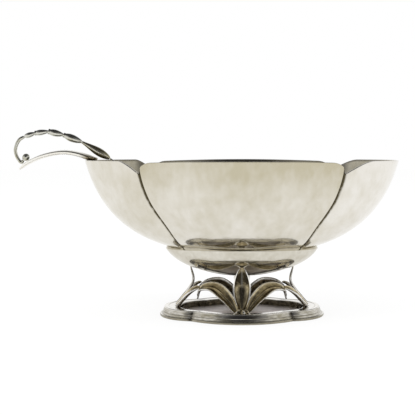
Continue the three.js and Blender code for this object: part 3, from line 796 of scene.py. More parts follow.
# How far the dish hangs below its construction piece
DISH_SAG = 1.0
DISH_END_HEIGHT = 16.9
DISH_BOTTOM = dish_low[2] - DISH_SAG
DISH_SIDE_RIM = dish_high[2]
DISH_END_RIM = dish_low[2] + DISH_END_HEIGHT
DISH_WALL = 1.2
DISH_EDGE = 0.3
DISH_ROWS = 44
DISH_STEPS = 220
DISH_CURVE = half_profile(DISH_LENGTH, DISH_BOTTOM, DISH_END_RIM, flatness=10, shoulder=(8, 14.2))
# Browner and darker low on the outside: a painted reflection of the dark leaves
DISH_PAINTED_REFLECTION = {"low": 0.8, "spread": 0.5, "everywhere": -0.3}
# Each ring of the seat by its distance in from the dish's rim and under the bowl
SEAT_PLACES = ((0.9, 0.12), (2.0, 0.12), (4.0, 0.12), (4.2, 1.4))
SEAT_ROWS = 12

dish_outline = oval_outline(DISH_LENGTH, DISH_WIDTH, DISH_STEPS)
sideways = dish_outline[:, 5]
side_lift = (DISH_SIDE_RIM - DISH_BOTTOM) / (DISH_END_RIM - DISH_BOTTOM) - 1
dish_rim = DISH_END_RIM + (DISH_SIDE_RIM - DISH_END_RIM) * sideways
dish_form = ThinBowl(dish_outline, DISH_CURVE, dish_rim, lift=side_lift * sideways)
dish_rings = dish_form.rings(DISH_WALL, DISH_ROWS, DISH_EDGE)
bowl_tree = BVHTree.FromObject(bowl, bpy.context.evaluated_depsgraph_get())


def bowl_underside(x, y):
    """Height of the bowl's outside, felt from below."""
    feelers = [Vector(((px + MIDDLE_X) * MM, py * MM, 0)) for px, py in zip(x, y)]
    return np.array([bowl_tree.ray_cast(feeler, Vector((0, 0, 1)))[0].z for feeler in feelers]) / MM


def seat_ring(inwards, under):
    x = dish_outline[:, 0] - inwards * dish_outline[:, 2]
    y = dish_outline[:, 1] - inwards * dish_outline[:, 3]
    return np.stack([x, y, bowl_underside(x, y) - under], axis=1)


over_rim = DISH_ROWS + len(EDGE_ROUNDING)
seat = [seat_ring(inwards, under) for inwards, under in SEAT_PLACES]
dish_rings = dish_rings[:over_rim] + seat + dish_rings[over_rim + SEAT_ROWS :]
on_outside = np.arange(len(dish_rings))[:, None] < over_rim
up_the_dish = (np.array(dish_rings)[:, :, 2] - DISH_BOTTOM) / (DISH_SIDE_RIM - DISH_BOTTOM)
dish_low_reflection = DISH_PAINTED_REFLECTION["low"] * near(up_the_dish, DISH_PAINTED_REFLECTION["spread"]) + DISH_PAINTED_REFLECTION["everywhere"]
dish_reflection_mask = dish_low_reflection * on_outside
dish = skin("dish_shell", dish_rings, {"gathered": dish_reflection_mask})
dish_silver = silver(
    "dish_silver",
    clean=(0.70, 0.675, 0.60),
    film=(0.42, 0.37, 0.27),
    dark=(0.05, 0.045, 0.035),
    patch=16.0,
    amount=0.8,
    roughness=0.04,
    gathered="gathered",
    softness=0.2,
)
finish_with(dish, dish_silver)
stand_in_for(dish, "boat", "dish_silver", "under_dish")

# %% [markdown]
# The foot is a moulding: a thin flange on the table, an upright band that leans back, with
# one fine line round it, a rounded top, a broad slope inwards, and a wall that drops to
# the sunk floor. A moulding is a profile carried round an outline. The rule sweeps the
# profile round, and then puts each point where the outline, scaled to that point's reach,
# says. So the notches stay in line from the flange to the floor.

# %% The moulding rule
moulding_rule, given, result = new_rule(
    "Moulding round an outline", [("Profile", "Object"), ("Silver", "Material")]
)
outline_curve = as_curves(moulding_rule, given["Geometry"])
profile_curve = curves_of(moulding_rule, given["Profile"])
swept = sweep(moulding_rule, outline_curve, profile_curve)
flat_outline = carried(moulding_rule, "outline", "FLOAT_VECTOR")
upwards = put(moulding_rule, "ShaderNodeCombineXYZ", {"Z": carried(moulding_rule, "height")})
place = step_from(moulding_rule, upwards.outputs[0], flat_outline, carried(moulding_rule, "reach"))
moved = place_at(moulding_rule, swept, place)
# The painted shade of the section and of the notches
darker = calc(moulding_rule, "MAXIMUM", carried(moulding_rule, "dark"), carried(moulding_rule, "notch"))
marked = mark(moulding_rule, moved, "dark", darker)
close_rule(moulding_rule, result, marked, given["Silver"])
print(moulding_rule.name, "has", len(moulding_rule.nodes), "nodes")

# %% [markdown]
# The section of the foot is drawn once, from the outer edge up, over and down to the
# floor, and back under the metal. The foot's high lines are rubbed bright and carry
# painted highlights, with olive streaks between them, and the tops of the slope are
# painted lighter. The flange, the notches and the inner wall are brown and black, as
# painted shade.

# %% The foot ring
FOOT_LENGTH = (ring_high[0] - ring_low[0]) / 2
FOOT_WIDTH = (ring_high[1] - ring_low[1]) / 2
FOOT_HEIGHT = ring_high[2]
FOOT_CREASE = (31.0, 22.6)
FOOT_STEPS = (90, 76)
NOTCH_WIDTH = 2.0
# How dark the notches are painted, as painted shade
NOTCH_SHADE = 0.9
FLANGE = 1.5
FLANGE_ROUND = 0.4
FLANGE_STEP = 1.6
BAND_LINE = 3.0
MOULDING = 3.4
INNER_EDGE = 12.6
INNER_DIP = 0.4
FOOT_WALL = 1.4
PROFILE_STEP = 0.22
EDGE_TOP = FOOT_HEIGHT - INNER_DIP
floor_low, floor_high = node_box("foot_floor")
FLOOR_BOTTOM = floor_low[2]
FLOOR_TOP = floor_high[2]


def quarter_round(centre, radii, start, end, steps=8):
    """Points of an elliptical arc between two angles in degrees."""
    angles = np.radians(np.linspace(start, end, steps))
    return [(centre[0] + radii[0] * math.cos(a), centre[1] + radii[1] * math.sin(a)) for a in angles]


def foot_profile():
    """Reach and height round the section, its painted shade, bright wear with painted highlights, and film
    with painted light and shade.
    """
    outer = FOOT_LENGTH
    upper = outer - FLANGE_STEP
    inner = outer - INNER_EDGE
    under_flange = outer - 2 * FOOT_WALL
    flange_middle = (outer - FLANGE_ROUND, FLANGE / 2)
    flange_round = (FLANGE_ROUND, FLANGE / 2)
    slope_top = (upper - MOULDING, FOOT_HEIGHT - 0.05)
    under_slope = [(inner + FOOT_WALL, EDGE_TOP - FOOT_WALL), (slope_top[0], FOOT_HEIGHT - FOOT_WALL)]
    # Each part: points, painted shade, rubbed brightness with painted highlights, and film, where less film
    # paints the tops lighter
    parts = [
        ([(under_flange, 0.0), (outer - 0.3, 0.0)], 0.6, 0.0, 0.0),
        (quarter_round(flange_middle, flange_round, -70, 60), 0.35, 0.0, 1.0),
        (quarter_round(flange_middle, flange_round, 70, 90, 3), 0.1, 0.6, 0.0),
        ([(upper + 0.1, FLANGE + 0.05)], 0.5, 0.0, 0.5),
        ([(upper, FLANGE + 0.2), (upper - 0.3, BAND_LINE - 0.15)], 0.25, 0.0, 0.2),
        ([(upper - 0.5, BAND_LINE)], 0.6, 0.0, 0.5),
        ([(upper - 0.35, BAND_LINE + 0.15), (upper - 1.1, FOOT_HEIGHT - 0.8)], 0.25, 0.0, 0.2),
        (quarter_round((upper - 1.8, FOOT_HEIGHT - 0.7), (0.7, 0.7), 30, 90, 5), 0.0, 0.5, 0.0),
        ([slope_top], 0.0, 0.3, -2.0),
        ([(slope_top[0] - 0.5, FOOT_HEIGHT - 0.25)], 0.2, 0.0, 0.0),
        ([(slope_top[0] - 1.4, FOOT_HEIGHT - 0.18)], 0.0, 0.5, -1.5),
        ([(inner + 1.5, EDGE_TOP + 0.15), (inner + 0.4, EDGE_TOP)], 0.1, 0.3, -1.5),
        ([(inner, EDGE_TOP - 0.4), (inner, EDGE_TOP - 1.6)], 0.75, 0.0, 1.0),
        ([(inner, FLOOR_BOTTOM + 0.3)], 0.85, 0.0, 1.0),
        ([(inner + 0.3, FLOOR_BOTTOM), (inner + FOOT_WALL, FLOOR_BOTTOM)], 0.8, 0.0, 0.0),
        (under_slope, 0.8, 0.0, 0.0),
        ([(under_flange, BAND_LINE)], 0.8, 0.0, 0.0),
    ]
    corners = np.array([[*point, *masks] for run, *masks in parts for point in run])
    around = np.vstack([corners, corners[:1]])
    length = np.concatenate([[0], np.cumsum(np.linalg.norm(np.diff(around[:, :2], axis=0), axis=1))])
    places = []
    for a, b in zip(length, length[1:]):
        places += list(np.linspace(a, b, max(2, math.ceil((b - a) / PROFILE_STEP)), endpoint=False))
    return np.stack([np.interp(places, length, around[:, k]) for k in range(5)], axis=1)


foot_outline = lobed_outline(FOOT_LENGTH, FOOT_WIDTH, *FOOT_CREASE, *FOOT_STEPS)
foot_section = foot_profile()
foot_silver = silver(
    "foot_silver",
    clean=(0.78, 0.75, 0.69),
    film=(0.30, 0.27, 0.18),
    dark=(0.035, 0.028, 0.016),
    bright=(0.92, 0.905, 0.86),
    patch=5.0,
    amount=0.8,
    roughness=0.03,
    hollow="dark",
    edge="rubbed",
    gathered="filmed",
    stretch=(0.3, 0.3, 1.6),
)


def outline_guide(name, outline):
    flat = np.hstack([outline[:, :2], np.zeros((len(outline), 1))])
    notch = NOTCH_SHADE * near(outline[:, 4], NOTCH_WIDTH)
    return guide(name, [flat], closed=True, outline=flat * MM, notch=notch)


def profile_guide(name, section):
    flat = np.hstack([section[:, :2], np.zeros((len(section), 1))])
    return guide(
        name,
        [flat],
        closed=True,
        reach=section[:, 0] / FOOT_LENGTH,
        height=section[:, 1] * MM,
        dark=section[:, 2],
        rubbed=section[:, 3],
        filmed=section[:, 4],
    )


foot_ring = grow(
    "foot_moulding",
    outline_guide("foot_outline", foot_outline),
    moulding_rule,
    {"Profile": profile_guide("foot_profile", foot_section), "Silver": foot_silver},
)
stand_in_for(foot_ring, "boat", "foot_silver", "foot_ring")

# %% [markdown]
# The floor is a flat plate let into the ring near the table, rolled sheet without much
# polish. It keeps a pale bloom, a little pink. It is a skin over four rings.

# %% The foot's floor
PLATE_GAP = 0.35
PLATE_ROUND = 0.2


def scaled_ring(outline, reach, height):
    share = reach / FOOT_LENGTH
    return np.stack([outline[:, 0] * share, outline[:, 1] * share, np.full(len(outline), height)], axis=1)


floor_reach = FOOT_LENGTH - INNER_EDGE - PLATE_GAP
floor_rings = [
    scaled_ring(foot_outline, floor_reach - PLATE_ROUND, FLOOR_BOTTOM),
    scaled_ring(foot_outline, floor_reach, FLOOR_BOTTOM + PLATE_ROUND),
    scaled_ring(foot_outline, floor_reach, FLOOR_TOP - PLATE_ROUND),
    scaled_ring(foot_outline, floor_reach - PLATE_ROUND, FLOOR_TOP),
]
foot_floor = skin("foot_plate", floor_rings)
floor_silver = silver(
    "floor_silver",
    clean=(0.96, 0.90, 0.875),
    film=(0.84, 0.77, 0.74),
    dark=(0.06, 0.05, 0.05),
    patch=9.0,
    amount=0.6,
    roughness=0.5,
    speck=0.5,
)
finish_with(foot_floor, floor_silver)
stand_in_for(foot_floor, "boat", "floor_silver", "foot_floor")

# %% [markdown]
# A leaf of the foot is cast as a trough, with a rib down its middle and a raised line a
# little inside both edges, which roll over outwards. Its section changes all the way:
# narrow and deep at the root, wide and shallow where it is fullest, and thin at the tip.
#
# The rule sweeps one section along all the spines at once. Each point of the section says
# how far across it lies and how much of the trough, rib, edge line and thickness it
# takes. Each point of a spine says how large those are there.

# %% The leaf rule
leaf_rule, given, result = new_rule("Leaf along a spine", [("Section", "Object"), ("Silver", "Material")])
spine_curves = as_curves(leaf_rule, given["Geometry"])
section_curve = curves_of(leaf_rule, given["Section"])
swept = sweep(leaf_rule, spine_curves, section_curve, {"Fill Caps": True})


def spine_times_section(size_name, form_name):
    return calc(leaf_rule, "MULTIPLY", carried(leaf_rule, size_name), carried(leaf_rule, form_name))


raised = spine_times_section("trough", "bow")
raised = calc(leaf_rule, "ADD", raised, spine_times_section("rib_height", "rib"))
raised = calc(leaf_rule, "ADD", raised, spine_times_section("line_height", "line"))
raised = calc(leaf_rule, "SUBTRACT", raised, spine_times_section("thickness", "back"))
place = carried(leaf_rule, "spine", "FLOAT_VECTOR")
for direction, amount in (("across", spine_times_section("half_width", "side")), ("up", raised)):
    place = step_from(leaf_rule, place, carried(leaf_rule, direction, "FLOAT_VECTOR"), amount)
moved = place_at(leaf_rule, swept, place)
darker = calc(leaf_rule, "MAXIMUM", carried(leaf_rule, "dark"), spine_times_section("shade", "face"))
marked = mark(leaf_rule, moved, "dark", darker)
close_rule(leaf_rule, result, marked, given["Silver"])
print(leaf_rule.name, "has", len(leaf_rule.nodes), "nodes")

# %% [markdown]
# Spines, straps and wires are all drawn the same way: a smooth curve through a few chosen
# points, and two directions square to it at every point.

# %% Curves in space


def smooth_curve(points, samples):
    """A Catmull-Rom curve through given points, resampled to even steps."""
    points = np.asarray(points, dtype=float)
    ends = np.vstack([2 * points[0] - points[1], points, 2 * points[-1] - points[-2]])
    dense = []
    for i in range(1, len(ends) - 2):
        nearby = ends[i - 1 : i + 3]
        knots = np.concatenate([[0], np.cumsum(np.linalg.norm(np.diff(nearby, axis=0), axis=1) ** 0.5)])
        t = np.linspace(knots[1], knots[2], 40)[:, None]

        def between(low, high, start, end):
            return ((knots[end] - t) * low + (t - knots[start]) * high) / (knots[end] - knots[start])

        first, second, third = (between(nearby[j], nearby[j + 1], j, j + 1) for j in range(3))
        dense.append(between(between(first, second, 0, 2), between(second, third, 1, 3), 1, 2))
    dense = np.vstack(dense)
    length = np.concatenate([[0], np.cumsum(np.linalg.norm(np.diff(dense, axis=0), axis=1))])
    even = np.linspace(0, length[-1], samples)
    return np.stack([np.interp(even, length, dense[:, k]) for k in range(3)], axis=1)


def directions(path):
    steps = np.gradient(path, axis=0)
    return steps / np.linalg.norm(steps, axis=1)[:, None]


def across_and_up(path, across):
    """Makes the across directions square to the path, and gives the third direction."""
    tangents = directions(path)
    across = np.asarray(across, dtype=float)
    across = across - (across * tangents).sum(axis=1)[:, None] * tangents
    across /= np.linalg.norm(across, axis=1)[:, None]
    return across, np.cross(tangents, across)


print("curve helpers ready")

# %% [markdown]
# Four sprigs carry the dish, one at each side and one at each end. In each, an upright
# leaf leans in from its root, turns at the waist and flares out under the dish, and an
# arching leaf grows out on each side of it. The long ones bend over and curl down at the
# tip. The short ones of the ends rise to meet them.

# %% The spines of the twelve leaves
UPRIGHT_SIDE = {
    "width": 10.8, "root": 3.0, "tip": 0.7, "trough": 2.3, "root_trough": 2.9, "thickness": 1.2, "rib": 0.15,
    "shade": 1.4,
}
UPRIGHT_END = {
    "width": 6.4, "root": 3.0, "tip": 1.6, "trough": 0.8, "root_trough": 1.2, "thickness": 1.0, "rib": 0.3
}
ARCH_SIDE = {
    "width": 9.0, "root": 3.4, "tip": 3.2, "trough": 1.6, "root_trough": 1.8, "thickness": 1.2, "rib": 0.5
}
ARCH_END = {**ARCH_SIDE, "width": 6.4, "root": 2.6}
UPRIGHT_FORM = {"fullest_at": 0.5, "pointedness": 0.75}
ARCH_FORM = {"fullest_at": 0.55, "pointedness": 0.7}
# Places out from the foot's middle at the root, waist and tip, and the waist's drop under the dish
UPRIGHT_SIDE_PLACES = (27.4, 21.4, 22.9, 4.3)
UPRIGHT_END_PLACES = (40.8, 30.6, 32.6, 3.0)
# Places aside from the sprig's middle, out from the foot's middle and under the dish
ARCH_SIDE_PLACES = ((9.8, 20.0, 10.5), (18.0, 13.0, 5.8), (25.6, 9.0, 7.4), (27.6, 8.6, 12.9))
ARCH_END_PLACES = ((6.6, 36.8, 14.2), (9.2, 32.2, 9.4), (10.6, 28.6, 6.7), (11.4, 26.2, 5.6))
ARCH_SIDE_ROOT = (2.6, 26.6)
ARCH_END_ROOT = (4.0, 40.2)
UPRIGHT_STEPS = 72
ARCH_STEPS = 96
ROOT_TILT = 50
PEAK_TILT = 25
EDGE_LINE = 0.4
# Place along a spine where the painted shade of its hollow is blackest, and how far it spreads
SHADE_AT = 0.72
SHADE_SPREAD = 0.2

SPRIGS = {
    "front": (np.array([0.0, -1.0, 0.0]), (("left", -1), ("right", 1))),
    "back": (np.array([0.0, 1.0, 0.0]), (("left", -1), ("right", 1))),
    "left": (np.array([-1.0, 0.0, 0.0]), (("front", -1), ("back", 1))),
    "right": (np.array([1.0, 0.0, 0.0]), (("front", -1), ("back", 1))),
}
spines = []


def add_spine(path, across, size, form):
    """Notes a leaf's path and how its section changes along it."""
    t = np.linspace(0, 1, len(path))
    along = t ** (math.log(0.5) / math.log(form["fullest_at"]))
    opened = np.maximum(0, np.sin(np.pi * along)) ** form["pointedness"]
    base = size["root"] + (size["tip"] - size["root"]) * t
    across, up = across_and_up(path, across)
    spines.append(
        {
            "path": path,
            "across": across,
            "up": up,
            "half_width": (base + (size["width"] - base) * opened) / 2,
            "trough": size["root_trough"] * (1 - t) * (1 - opened) + size["trough"] * opened,
            "rib_height": size["rib"] * opened,
            "line_height": EDGE_LINE * (0.4 + 0.6 * opened),
            "thickness": size["thickness"] * (1 - 0.5 * t**2),
            "shade": size.get("shade", 0.0) * near(t - SHADE_AT, SHADE_SPREAD),
        }
    )


def upright_spine(side, out, size, places):
    low, high = node_box("upright_leaf_" + side)
    root_out, waist_out, tip_out, waist_under = places
    path = smooth_curve(
        [
            out * root_out + [0, 0, low[2] + 0.2],
            out * waist_out + [0, 0, DISH_BOTTOM - waist_under],
            out * tip_out + [0, 0, high[2]],
        ],
        UPRIGHT_STEPS,
    )
    add_spine(path, (out[1], -out[0], 0.0), size, UPRIGHT_FORM)


def arch_spine(node, out, aside, root, places, size):
    root_height = node_box(node)[0][2]
    points = [out * root[1] + aside * root[0] + [0, 0, root_height]]
    points += [out * far + aside * wide + [0, 0, DISH_BOTTOM - under] for wide, far, under in places]
    path = smooth_curve(points, ARCH_STEPS)
    tangents = directions(path)
    level = np.stack([-tangents[:, 1], tangents[:, 0], np.zeros(len(path))], axis=1)
    level /= np.linalg.norm(level, axis=1)[:, None]
    level[level @ out < 0] *= -1
    lean = np.minimum(1, np.linspace(0, 1.6, len(path)))
    tilt = np.radians(ROOT_TILT + (PEAK_TILT - ROOT_TILT) * lean)[:, None]
    across = level * np.cos(tilt) - np.array([0, 0, 1]) * np.sin(tilt)
    add_spine(path, across * np.cross(aside, out)[2], size, ARCH_FORM)


for side, (out, hands) in SPRIGS.items():
    at_side = side in ("front", "back")
    if at_side:
        upright_spine(side, out, UPRIGHT_SIDE, UPRIGHT_SIDE_PLACES)
        arch = (ARCH_SIDE_ROOT, ARCH_SIDE_PLACES, ARCH_SIDE)
    else:
        upright_spine(side, out, UPRIGHT_END, UPRIGHT_END_PLACES)
        arch = (ARCH_END_ROOT, ARCH_END_PLACES, ARCH_END)
    for hand, sign in hands:
        aside = np.array([sign, 0.0, 0.0]) if at_side else np.array([0.0, sign, 0.0])
        arch_spine("arch_leaf_" + side + "_" + hand, out, aside, *arch)
print("spines:", len(spines))

# %% [markdown]
# The leaves were never polished inside. Bronze-brown and black tarnish fills their
# troughs, deepened with painted shade on their flanks and undersides, and a painted shade
# blackens the hollow high up in the upright leaves of the two sides. A few straw streaks
# lie by the rib as a painted highlight. The edge lines are rubbed to bare silver and carry
# painted highlights.

# %% The leaves
FACE_STOPS = 45
BACK_STOPS = 17
BACK_WIDTH = 0.995
BACK_ROW = 0.1
EDGE_LINE_AT = 0.13

face = np.sin(np.linspace(-1, 1, FACE_STOPS) * np.pi / 2)
back = np.linspace(1, -1, BACK_STOPS + 2)[1:-1]
section_side = np.concatenate([face, back * BACK_WIDTH])
on_face = np.concatenate([np.ones(FACE_STOPS), np.zeros(BACK_STOPS)])
on_back = 1 - on_face
from_edge = 1 - abs(section_side)
# Lines and shades lie and spread by shares of the half width
section = guide(
    "leaf_section",
    [np.stack([section_side, BACK_ROW * on_back, 0 * on_face], axis=1)],
    closed=True,
    side=section_side,
    bow=section_side**2,
    rib=on_face * near(section_side, 0.16),
    line=on_face * near(from_edge - EDGE_LINE_AT, 0.09),
    back=on_back * (1 - 0.45 * section_side**8),
    face=on_face * (1 - near(from_edge, 0.2)),
    # Dark flanks and backs: tarnish deepened with painted shade; bright edges and rib: wear and painted
    # highlights
    dark=0.6 * on_face * near(abs(section_side) - 0.4, 0.34) + 0.85 * on_back,
    rubbed=1.8 * near(from_edge, EDGE_LINE_AT, power=4) + 0.12 * on_face * near(section_side, 0.1),
)


def along_all(key):
    return np.concatenate([spine[key] for spine in spines])


lengths = ("half_width", "trough", "rib_height", "line_height", "thickness")
spine_lines = guide(
    "leaf_spines",
    [spine["path"] for spine in spines],
    spine=along_all("path") * MM,
    across=along_all("across"),
    up=along_all("up"),
    shade=along_all("shade"),
    **{key: along_all(key) * MM for key in lengths},
)
leaf_silver = silver(
    "leaf_silver",
    clean=(0.66, 0.56, 0.35),
    film=(0.16, 0.115, 0.055),
    dark=(0.03, 0.024, 0.014),
    bright=(0.95, 0.93, 0.88),
    patch=5.0,
    amount=0.8,
    roughness=0.08,
    hollow="dark",
    edge="rubbed",
)
leaves = grow("leaves", spine_lines, leaf_rule, {"Section": section, "Silver": leaf_silver})
leaf_nodes = ["upright_leaf_" + side for side in SPRIGS]
leaf_nodes += ["arch_leaf_" + side + "_" + hand for side, (_, hands) in SPRIGS.items() for hand, _ in hands]
stand_in_for(leaves, "boat", "leaf_silver", *leaf_nodes)

# %% [markdown]
# Where the leaves of a side share a root, a small scalloped collar covers the join, a
# cast flower of five petals that is pressed down over the solder.

# %% The root collars
COLLAR_LOBES = 5
COLLAR_SCALLOP = 0.16
COLLAR_HOLLOW = 0.12
COLLAR_SIDES = 80
angle = np.arange(COLLAR_SIDES) / COLLAR_SIDES * 2 * np.pi
petal = np.cos(COLLAR_LOBES * angle)

for side in ("front", "back"):
    low, high = node_box("root_collar_" + side)
    centre = (low + high) / 2
    reach = (high - low) / 2 / (1 + COLLAR_SCALLOP)
    rings = []
    for lean in np.radians(np.linspace(0, 88, 16)):
        around = (1 + COLLAR_SCALLOP * petal) * math.cos(lean)
        sunk = COLLAR_HOLLOW * (1 - petal) * math.sin(2 * lean)
        x = reach[0] * around * np.cos(angle)
        y = centre[1] + reach[1] * around * np.sin(angle)
        z = low[2] + (high[2] - low[2]) * (math.sin(lean) - sunk)
        rings.append(np.stack([x, y, z], axis=1))
    between = np.tile(0.9 * (1 - petal) / 2, (len(rings), 1))
    ridge = np.tile(np.clip(petal, 0, 1) ** 3, (len(rings), 1))
    collar = skin("root_collar_of_" + side, rings, {"dark": between, "rubbed": ridge})
    finish_with(collar, leaf_silver)
    stand_in_for(collar, "boat", "leaf_silver", "root_collar_" + side)

# %% [markdown]
# The strap handle is a tongue of sheet silver: a little crowned across, arched along, and
# cut to a point that turns down. Its long edges are turned down and in, so that they are
# round to the fingers. The hook of the ladle hangs over the point. Hands have rubbed the
# strap to a pale sheen. The solder at its root has gone dark gold.

# %% The strap handle
STRAP = {"root": 15.0, "tip": 1.6, "crown": 0.6, "lip": 1.5, "undercut": 0.88, "wall": 1.1, "reach": 42.2}
STRAP_TIP_DROP = 5.4
STRAP_RISE = 6.4
STRAP_RISE_AT = 13.8
STRAP_LAP = 7.0
STRAP_STEPS = 110
# How dark the solder is, and how far along the strap it reaches
SOLDER_DARKNESS = 0.9
SOLDER_REACH = 0.16
strap_rim = -BOWL_LENGTH
strap_path = smooth_curve(
    [
        (strap_rim + STRAP_LAP, 0, RIM + STRAP["wall"] + 0.3),
        (strap_rim - 0.25 * STRAP_RISE_AT, 0, RIM + 0.8 * STRAP_RISE),
        (strap_rim - STRAP_RISE_AT, 0, RIM + STRAP_RISE),
        (strap_rim - 0.66 * STRAP["reach"], 0, RIM + 0.56 * STRAP_RISE),
        (strap_rim - 0.9 * STRAP["reach"], 0, RIM - 0.28 * STRAP_TIP_DROP),
        (strap_rim - STRAP["reach"], 0, RIM - STRAP_TIP_DROP),
    ],
    STRAP_STEPS,
)
strap_across, strap_up = across_and_up(strap_path, (0, -1, 0))
strap_rings = []
strap_dark = []
stops = np.sin(np.linspace(-1, 1, 25) * np.pi / 2)
strap_places = np.concatenate([stops, stops[::-1] * STRAP["undercut"]])
for i, t in enumerate(np.linspace(0, 1, len(strap_path))):
    taper = math.sqrt(max(0.0, 1 - t**1.6))
    rounding = min(1.0, math.sqrt(t * 6) + 0.35)
    half = (STRAP["tip"] + (STRAP["root"] - STRAP["tip"]) * taper * rounding) / 2
    crown = STRAP["crown"] * 2 * half / STRAP["root"]
    lip = STRAP["lip"] * 2 * half / STRAP["root"]
    wall = STRAP["wall"] * (0.5 + 0.5 * taper)
    drop = np.concatenate([0.2 * wall * stops**12, wall + lip * stops**2])
    height = -crown * strap_places**2 - drop
    across = (strap_places * half)[:, None] * strap_across[i]
    strap_rings.append(strap_path[i] + across + height[:, None] * strap_up[i])
    strap_dark.append(np.full(len(strap_places), SOLDER_DARKNESS * near(t, SOLDER_REACH, power=4)))
strap = skin("strap_tongue", strap_rings, {"dark": np.array(strap_dark)})
strap_silver = silver(
    "strap_silver",
    clean=(0.90, 0.88, 0.82),
    film=(0.72, 0.67, 0.54),
    dark=(0.20, 0.15, 0.06),
    patch=14.0,
    amount=0.3,
    roughness=0.15,
    hollow="dark",
)
finish_with(strap, strap_silver)
stand_in_for(strap, "boat", "strap_silver", "strap_handle")

# %% [markdown]
# The ladle's cup is a small plain bowl, made in the same way as the big one. A forged
# neck runs down to it and laps it with a flat tongue. Both lie in the bowl's shade and
# have an even, dull film. The cup's inside is painted darker, as painted shade.

# %% The ladle's cup
cup_low, cup_high = node_box("ladle_cup")
CUP_X = (cup_low[0] + cup_high[0]) / 2 - MIDDLE_X
CUP_LENGTH = (cup_high[0] - cup_low[0]) / 2
CUP_WIDTH = (cup_high[1] - cup_low[1]) / 2
CUP_DEPTH = cup_high[2] - cup_low[2]
CUP_WALL = 1.2
CUP_EDGE = 0.3
CUP_ROWS = 36
CUP_STEPS = 140
CUP_CURVE = half_profile(CUP_LENGTH, cup_low[2], cup_high[2], flatness=11, shoulder=(0, 0.6 * CUP_DEPTH))
# Painted shade inside the cup
CUP_INSIDE_SHADE = 0.4
cup_outline = oval_outline(CUP_LENGTH, CUP_WIDTH, CUP_STEPS)
cup_form = ThinBowl(cup_outline, CUP_CURVE, np.full(CUP_STEPS, cup_high[2]))
cup_rings = [ring + np.array([CUP_X, 0, 0]) for ring in cup_form.rings(CUP_WALL, CUP_ROWS, CUP_EDGE)]
cup = skin("ladle_cup_shell", cup_rings, {"dark": CUP_INSIDE_SHADE * inner_half(cup_rings)})
cup_silver = silver(
    "ladle_cup_silver",
    clean=(0.76, 0.74, 0.68),
    film=(0.55, 0.50, 0.40),
    dark=(0.08, 0.07, 0.05),
    patch=10.0,
    amount=0.6,
    roughness=0.16,
    hollow="dark",
)
finish_with(cup, cup_silver)
stand_in_for(cup, "ladle", "ladle_cup_silver", "ladle_cup")

# %% [markdown]
# The neck is a bar of oval section on a curve. It grows wider and thinner towards the
# cup, where it becomes the tongue.

# %% The ladle's neck
NECK_WIDTH = 4.0
NECK_THICKNESS = 2.2
TONGUE_WIDTH = 8.0
TONGUE_THICKNESS = 1.6
NECK_STEPS = 80
NECK_SIDES = 28
NECK_START = (-83.0, 0, RIM + 0.9)
NECK_BEND = (-62.0, 0, RIM - 15)
neck_path = smooth_curve(
    [
        NECK_START,
        NECK_BEND,
        (CUP_X - CUP_LENGTH - TONGUE_THICKNESS - 0.2, 0, cup_high[2]),
        (CUP_X - CUP_LENGTH + 0.1 * CUP_DEPTH, 0, cup_high[2] - 0.46 * CUP_DEPTH),
    ],
    NECK_STEPS,
)
neck_across, neck_up = across_and_up(neck_path, (0, 1, 0))
circle = np.arange(NECK_SIDES) / NECK_SIDES * 2 * np.pi
neck_rings = []
for i, t in enumerate(np.linspace(0, 1, len(neck_path))):
    fullness = min(1.0, 0.45 + 4 * t)
    wide = (NECK_WIDTH + (TONGUE_WIDTH - NECK_WIDTH) * t**4) * fullness
    thick = (NECK_THICKNESS + (TONGUE_THICKNESS - NECK_THICKNESS) * t**4) * fullness
    across = (np.cos(circle) * wide / 2)[:, None] * neck_across[i]
    neck_rings.append(neck_path[i] + across + (np.sin(circle) * thick / 2)[:, None] * neck_up[i])
neck = skin("ladle_neck_bar", neck_rings)
finish_with(neck, cup_silver)
stand_in_for(neck, "ladle", "ladle_cup_silver", "ladle_neck")

# %% [markdown]
# The ladle's handle is a chain of husks. Each husk is a pair of cupped leaves, soldered
# edge to edge and joined end to end. The husks near the hook open towards it, like
# bellflowers, and the last is a long bud.
#
# The rule resamples each guide line, gives it a radius that swells between the joints,
# and sweeps a pinched ring along it. A mouth keeps the near end open and blunt. A grey
# tarnish lies on the leaves, the seams are rubbed brighter and carry a painted highlight,
# and a golden film has gathered on the long bud.

# %% The husk rule
BLUNTNESS = 0.8
SEAM_WIDTH = 0.45
husk_rule, given, result = new_rule(
    "Husks along a path",
    [
        ("Sides", "Int"),
        ("Rings", "Int"),
        ("Width To Height", "Float"),
        ("Joint Radius", "Float"),
        ("Pinch", "Float"),
        ("Silver", "Material"),
    ],
)
husk_lines = as_curves(husk_rule, given["Geometry"])
resampled = put(husk_rule, "GeometryNodeResampleCurve", {"Curve": husk_lines, "Count": given["Rings"]})
husk_paths = put(husk_rule, "GeometryNodeSetCurveNormal", {"Curve": resampled.outputs[0]}, mode="Z_UP")
along = put(husk_rule, "GeometryNodeSplineParameter").outputs["Factor"]
skewed = calc(husk_rule, "POWER", along, carried(husk_rule, "skew"))
swelling = calc(husk_rule, "SINE", calc(husk_rule, "MULTIPLY", skewed, math.pi))
swelling = calc(husk_rule, "POWER", calc(husk_rule, "MAXIMUM", swelling, 0.0), BLUNTNESS)
mouth = calc(husk_rule, "MULTIPLY", carried(husk_rule, "mouth"), calc(husk_rule, "SUBTRACT", 1.0, along))
fullness = calc(husk_rule, "MAXIMUM", swelling, mouth)
spare = calc(husk_rule, "SUBTRACT", carried(husk_rule, "half_height"), given["Joint Radius"])
husk_radius = calc(husk_rule, "ADD", given["Joint Radius"], calc(husk_rule, "MULTIPLY", spare, fullness))
ring = put(husk_rule, "GeometryNodeCurvePrimitiveCircle", {"Resolution": given["Sides"], "Radius": 1.0})
ring_point = put(husk_rule, "GeometryNodeInputPosition")
ring_place = put(husk_rule, "ShaderNodeSeparateXYZ", {0: ring_point.outputs[0]})
